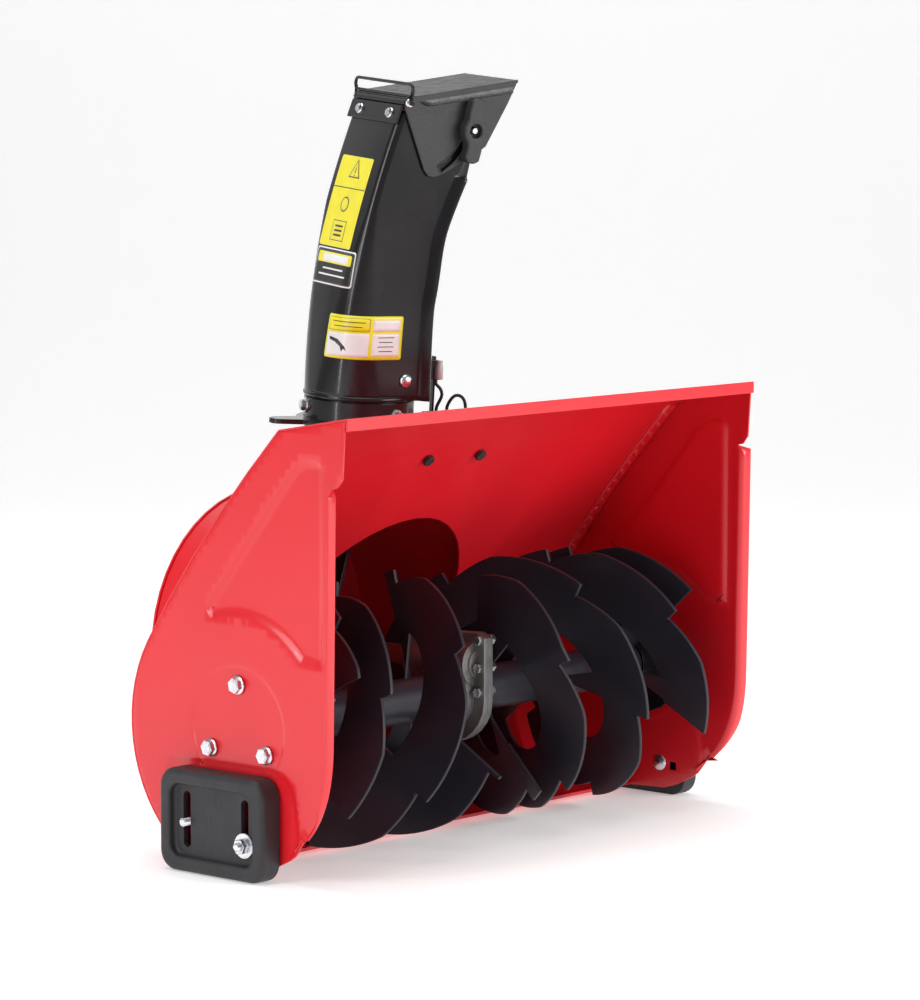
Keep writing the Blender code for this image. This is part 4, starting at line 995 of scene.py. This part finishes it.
def ribbon(side, number, line, first_x, last_x, notch, lead_in, first_arm):
    """One toothed ribbon with its arms, cut from plate and twisted to the helix."""
    per_degree = RIBBON_PITCH / 360
    start = (line - first_x) / per_degree
    end = (line - last_x) / per_degree
    arms = [start + first_arm, (start + end) / 2, end + 14]
    shares = (0.0, 0.02, 0.25, 0.5, 0.75, 0.98, 1.0)
    rows = []
    for angle in ribbon_angles(start + lead_in, end, notch, arms):
        x = max(line - per_degree * angle, first_x)
        near_arm = min(abs(angle - arm) for arm in arms)
        inner = TUBE_RADIUS - 0.0005 if near_arm < ARM_HALF else RIBBON_INNER
        outer = tooth_radius(angle, notch)
        turn = math.radians(angle)
        around = [(inner + (outer - inner) * t, -0.5) for t in shares]
        around += [(inner + (outer - inner) * t, 0.5) for t in shares[::-1]]
        row = []
        for radius, face in around:
            y = AUGER_AXIS.y - radius * math.cos(turn)
            z = AUGER_AXIS.z + radius * math.sin(turn)
            row.append((side * (x + face * RIBBON_THICK), y, z))
        rows.append(row)
    hand = hand_of(side)
    blade = piece(f"ribbon_{hand}_{number}", loft(rows), AUGER, "auger", 40.0)
    rounded_off(blade, 0.0007, 2, 45.0)
    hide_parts(f"auger_ribbon_{hand}_{number}")
    return blade


# Skid shoes


RIM_ROUND = 0.0055
LIP_ROUND = 0.0028
DISH_DEPTH = 0.0080
DISH_ROUND = 0.0030
SLOT_HALF_WIDTH = 0.0045
SLOT_HALF_HEIGHT = 0.0264


def skid_shoe(side):
    """The moulded shoe: soft outer edge, flat rim, dished middle with a round inner edge, and two upright slots."""
    hand = hand_of(side)
    low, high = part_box(f"skid_shoe_{hand}")
    length, height = high.y - low.y, high.z - low.z
    _, middle_y, middle_z = middle_of(f"skid_shoe_{hand}")
    outer = side * max(abs(low.x), abs(high.x))
    thick = high.x - low.x
    # Each stage is how much narrower than the shoe, how deep from its outer face, and the corner radius
    stages = [(0.0220, thick - 0.0088, 0.009), (0.0220, thick, 0.009), (0.0000, thick, 0.018)]
    stages += [(0.0000, RIM_ROUND, 0.018)]
    for turn in [math.radians(t) for t in (20, 40, 60, 80, 90)]:
        pull = RIM_ROUND * (1 - math.cos(turn))
        stages.append((pull * 2, RIM_ROUND * (1 - math.sin(turn)), 0.018 - pull * 0.6))
    stages += [(0.0230, 0.0, 0.0120)]
    for turn in [math.radians(t) for t in (25, 50, 75)]:
        stages.append((0.0230 + LIP_ROUND * math.sin(turn) * 2, LIP_ROUND * (1 - math.cos(turn)), 0.0115))
    stages += [(0.0290, DISH_DEPTH - DISH_ROUND, 0.0105)]
    for turn in [math.radians(t) for t in (30, 60, 90)]:
        pull = DISH_ROUND * (1 - math.cos(turn))
        stages.append((0.0290 + pull * 2, DISH_DEPTH - DISH_ROUND * (1 - math.sin(turn)), 0.0095))
    rows = []
    for inset, depth, radius in stages:
        rim = round_rectangle((length - inset) / 2 - radius, (height - inset) / 2 - radius, radius, 8)
        rows.append([(outer - side * depth, middle_y + y, middle_z + z) for y, z in rim])
    shoe = piece(f"shoe_{hand}", loft(rows), SKID, f"skid_{hand}", 38.0)
    cutter = bmesh.new()
    for y, _ in SKID_BOLTS:
        slot = round_rectangle(0.0001, SLOT_HALF_HEIGHT - SLOT_HALF_WIDTH, SLOT_HALF_WIDTH, 8)
        ends = []
        for x in (outer + side * 0.02, side * (SIDE_X - 0.02)):
            ends.append([(x, MOUTH_Y + y + a, middle_z + 0.0005 + b) for a, b in slot])
        loft(ends, bm=cutter)
    carve(shoe, cutter)
    rounded_off(shoe, 0.0005, 2, 50.0)
    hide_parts(f"skid_shoe_{hand}")
    return shoe


def carve(thing, cutter):
    """Cuts a bmesh's volume out of a piece and bakes the result into its mesh."""
    bmesh.ops.recalc_face_normals(cutter, faces=cutter.faces)
    tool = linked("cutter", mesh_of("cutter", cutter))
    cut = thing.modifiers.new("cut", "BOOLEAN")
    cut.object = tool
    cut.solver = "EXACT"
    bpy.context.view_layer.update()
    baked = bpy.data.meshes.new_from_object(thing.evaluated_get(bpy.context.evaluated_depsgraph_get()))
    thing.modifiers.remove(cut)
    thing.data = baked
    baked.shade_smooth()
    baked.set_sharp_from_angle(angle=math.radians(38))
    bpy.data.objects.remove(tool)


def nut(name, place, direction, body, across=0.0130, height=0.0065, bore=0.0043, washer=0.0120, spin=8.0):
    """A plain washer and a chamfered hexagon nut on it."""
    seat = [(bore, 0.0), (washer, 0.0), (washer, 0.0014), (washer - 0.0004, 0.0018), (bore, 0.0018)]
    radius = across / 2 / math.cos(math.pi / 6)
    top = 0.0018 + height
    rows = []
    for z, share in ((0.0018, 0.97), (0.0022, 1.0), (top - 0.0005, 1.0), (top, 0.95)):
        turns = [math.radians(60 * k) for k in range(6)]
        rows.append([(radius * share * math.cos(t), radius * share * math.sin(t), z) for t in turns])
    dish = [(0, top - 0.0004), (radius * 0.74, top - 0.0004), (radius * 0.70, top + 0.0002), (0, top + 0.0003)]
    parts = [lathe(seat, 40), loft(rows), spun(dish, 32)]
    return plated(name, joined(*parts), standing(place, direction, spin), body, 35.0)


def threaded_end(name, place, direction, body, length, radius=0.0040):
    """A bolt's threaded shank with a chamfered tip."""
    profile = [(0, 0.0)]
    for k in range(int(length / THREAD_PITCH)):
        low = k * THREAD_PITCH
        profile += [(radius * 0.86, low), (radius, low + THREAD_PITCH * 0.5)]
    profile += [(radius * 0.86, length - 0.0006), (radius * 0.70, length), (0, length)]
    return plated(name, spun(profile, 24), standing(place, direction), body, 30.0)


def fasteners():
    """Threaded and chamfered hardware in place of the CAD bolts on the side plates and skids."""
    for side, hand in ((-1, "left"), (1, "right")):
        out = (side, 0.0, 0.0)
        for n in (1, 2, 3):
            node = f"end_bolt_{hand}_{n}"
            spot = (side * (SIDE_X + SEAT_GAP), *middle_of(node)[1:])
            bolt = hex_bolt(f"flange_bolt_{hand}_{n}", spot, out, "housing", across=0.0130, head=0.0062,
                            spin=11.0 * n, shank=0.0140)
            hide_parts(node)
        for place in ("front", "rear"):
            node = f"skid_bolt_{hand}_{place}"
            low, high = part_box(node)
            head = side * (SIDE_X - SHEET - SEAT_GAP)
            spot = (head, *middle_of(node)[1:])
            reach = max(abs(low.x), abs(high.x)) - abs(head)
            shank = threaded_end(f"carriage_shank_{hand}_{place}", spot, out, "housing", reach)
            cap = dome_bolt(f"carriage_head_{hand}_{place}", spot, (-side, 0, 0), "housing", radius=0.0088,
                            height=0.0038)
            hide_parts(node)
            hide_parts(node)
        node = f"skid_nut_{hand}"
        seat = side * min(abs(corner.x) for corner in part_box(node))
        made = nut(f"flat_nut_{hand}", (seat, *middle_of(node)[1:]), out, "housing")
        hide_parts(node)


# Hood details


HINGE = (0.0110, 0.2920)
SLOT_RADIUS = 0.074


def hoop(name, path, radius, material, body, sides=10):
    """A round bead along a closed path of points."""
    points = [Vector(p) for p in path]
    rows = []
    reference = None
    for i, point in enumerate(points):
        along = (points[(i + 1) % len(points)] - points[i - 1]).normalized()
        if reference is None:
            reference = along.orthogonal().normalized()
        reference = (reference - along * reference.dot(along)).normalized()
        other = along.cross(reference)
        turns = [2 * math.pi * k / sides for k in range(sides)]
        rows.append([point + (reference * math.cos(t) + other * math.sin(t)) * radius for t in turns])
    return piece(name, loft(rows, closed=True), material, body, 60.0)


def hood_place(x, y, z):
    """A point given from the hinge, in the chute's frame."""
    return chute_place(HINGE[0] + x, y, HINGE[1] + z)


def hood_details():
    """Sloped top edges of the cheeks, the raised lip round each slot, and the hinge rivets."""
    half = CHUTE_TOP_HALF + 0.0034
    for side, word in ((-1, "near"), (1, "far")):
        rows = []
        for x in steps_between(0.0120, 0.1165, 0.006):
            top = 0.0016 + (x - 0.0105) * 0.158
            drop = 0.0058 * smooth((x - 0.0100) / 0.0120)
            section = [(half - 0.0006, top - drop - 0.0008)]
            for t in (0.0, 0.25, 0.5, 0.75, 1.0):
                section.append((half + 0.0016 * (1 - t) * (1 - 0.55 * t), top - drop * (1 - t)))
            section.append((half - 0.0006, top))
            rows.append([hood_place(x, side * y, z) for y, z in section])
        bm = sheet_from_grid(rows)
        edge = piece(f"cheek_edge_{word}", bm, HOOD_GLOSS, "deflector", 60.0)
        rim = arc((0, 0), SLOT_RADIUS + 0.0042, -60, -12, 12) + arc((0, 0), SLOT_RADIUS - 0.0042, -12, -60, 12)
        loop = [hood_place(x, side * half, z) for x, z in rim]
        lip = hoop(f"slot_lip_{word}", loop, 0.0010, HOOD, "deflector")
        dome_bolt(f"hinge_rivet_{word}", hood_place(0.0, side * (half - 0.0002), 0.0), chute_way(0, side, 0),
                  "deflector", radius=0.0046, height=0.0022)


def collar_bolts():
    """Two clamp bolts on the fixed collar under the chute, and the cable's pale ferrule."""
    for n, (angle, z) in enumerate(((169.0, -0.0120), (-76.6, -0.0168)), 1):
        turn = math.radians(angle)
        radius = CHUTE_RADIUS + 0.0013
        spot = chute_place(radius * math.cos(turn), radius * math.sin(turn), z)
        hex_bolt(f"collar_bolt_{n}", spot, chute_way(math.cos(turn), math.sin(turn), 0), "housing", across=0.0100,
                 head=0.0062, spin=20.0, washer=0.0075)
    profile = [(0, 0.0), (0.0042, 0.0), (0.0046, 0.0010), (0.0046, 0.0120), (0.0036, 0.0150), (0.0036, 0.0190)]
    profile += [(0, 0.0190)]
    place = standing(chute_place(0.0848, -0.0092, 0.0138), chute_way(0, 0, 1))
    ferrule = piece("cable_ferrule", moved(spun(profile, 28), place), FERRULE, "housing", 40.0)


def housing_details():
    """Spot welds along the side flanges."""
    profile = [(0, -0.0004), (0.0038, -0.0004), (0.0038, 0.0009), (0.0032, 0.0014), (0.0026, 0.0011)]
    profile += [(0.0016, 0.0005), (0, 0.0004)]
    for side, hand in ((-1, "left"), (1, "right")):
        path = evenly(wrap_path(WRAP_INSET)[2:], 0.036)
        parts = []
        for (y, z), n in list(zip(path, normals_of(path)))[1:-1]:
            spot = Vector((side * (SIDE_X - 0.0110), MOUTH_Y + y, z))
            inward = Vector((0.0, -n.x, -n.y))
            if inward.dot(Vector((0, HOUSING_CENTRE[0] - y, HOUSING_CENTRE[1] - z))) <= 0:
                inward = -inward
            parts.append(moved(spun(profile, 20), standing(spot + inward * 0.0004, inward)))
        piece(f"spot_welds_{hand}", joined(*parts), RED, "housing", 50.0)


# Stage, lights and camera


def area_light(name, place, aim, size, power):
    lamp = bpy.data.lights.new(name, "AREA")
    lamp.shape = "RECTANGLE"
    lamp.size, lamp.size_y = size
    lamp.energy = power
    facing = (Vector(aim) - Vector(place)).to_track_quat("-Z", "Y").to_matrix().to_4x4()
    linked(name, lamp).matrix_world = Matrix.Translation(place) @ facing


def stage():
    """A pale floor that curves up into a backdrop, soft light all round, and the camera."""
    profile = [(-6.0, 0.0), (3.0, 0.0)] + arc((3.0, 1.5), 1.5, -90, 0, 24)[1:] + [(4.5, 6.0)]
    direction = Vector((0.7490, 0.6626, 0.0))
    across = Vector((-direction.y, direction.x, 0.0))
    rows = []
    for reach, height in profile:
        rows.append([direction * reach + across * w + Vector((0, 0, height - 0.0005)) for w in (-8.0, 0.0, 8.0)])
    bm = sheet_from_grid(rows)
    bmesh.ops.recalc_face_normals(bm, faces=bm.faces)
    mesh = mesh_of("backdrop", bm)
    mesh.shade_smooth()
    floor = Paint("floor_pale", (0.92, 0.92, 0.92), 0.75)
    floor.set("Emission Color", (1.0, 1.0, 1.0, 1.0))
    floor.set("Emission Strength", 0.30)
    floor.vary_roughness(floor.noise(3.0), 0.7, 0.8)
    mesh.materials.append(floor.material)
    backdrop = linked("backdrop", mesh)

    world = bpy.data.worlds.new("studio")
    world.use_nodes = True
    sky = world.node_tree.nodes["Background"]
    sky.inputs["Color"].default_value = (1.0, 1.0, 1.0, 1.0)
    sky.inputs["Strength"].default_value = 0.26
    bpy.context.scene.world = world
    bpy.context.scene.view_settings.view_transform = "Standard"

    area_light("key_left", (-2.8, 0.5, 1.5), (0, 0, 0.3), (1.2, 1.8), 24)
    area_light("strip_left", (-2.5, 0.25, 0.8), (0, 0, 0.4), (0.09, 1.7), 8)
    area_light("strip_right", (1.7, -2.3, 0.9), (0, 0, 0.4), (0.12, 1.6), 8)
    area_light("front_fill", (0.9, -3.0, 1.3), (0, 0, 0.25), (1.6, 1.2), 50)
    area_light("top", (0.0, 0.2, 3.0), (0, 0, 0.2), (2.4, 2.4), 60)

    lens = bpy.data.cameras.new("camera")
    lens.lens = 145.8
    camera = linked("camera", lens)
    camera.location = (-2.9444, -2.6968, 0.7417)
    camera.rotation_euler = (math.radians(84.0), 0.0, math.radians(-48.5))
    bpy.context.scene.camera = camera


finish_nodes()
for hand_side in (-1, 1):
    pressed_plate(hand_side)
    weld_flange(hand_side)
chute_shell()
chute_labels()
chute_hardware()
for ribbon_facts in RIBBONS:
    ribbon(*ribbon_facts)
for hand_side in (-1, 1):
    skid_shoe(hand_side)
fasteners()
hood_details()
collar_bolts()
housing_details()
stage()
bpy.context.view_layer.update()
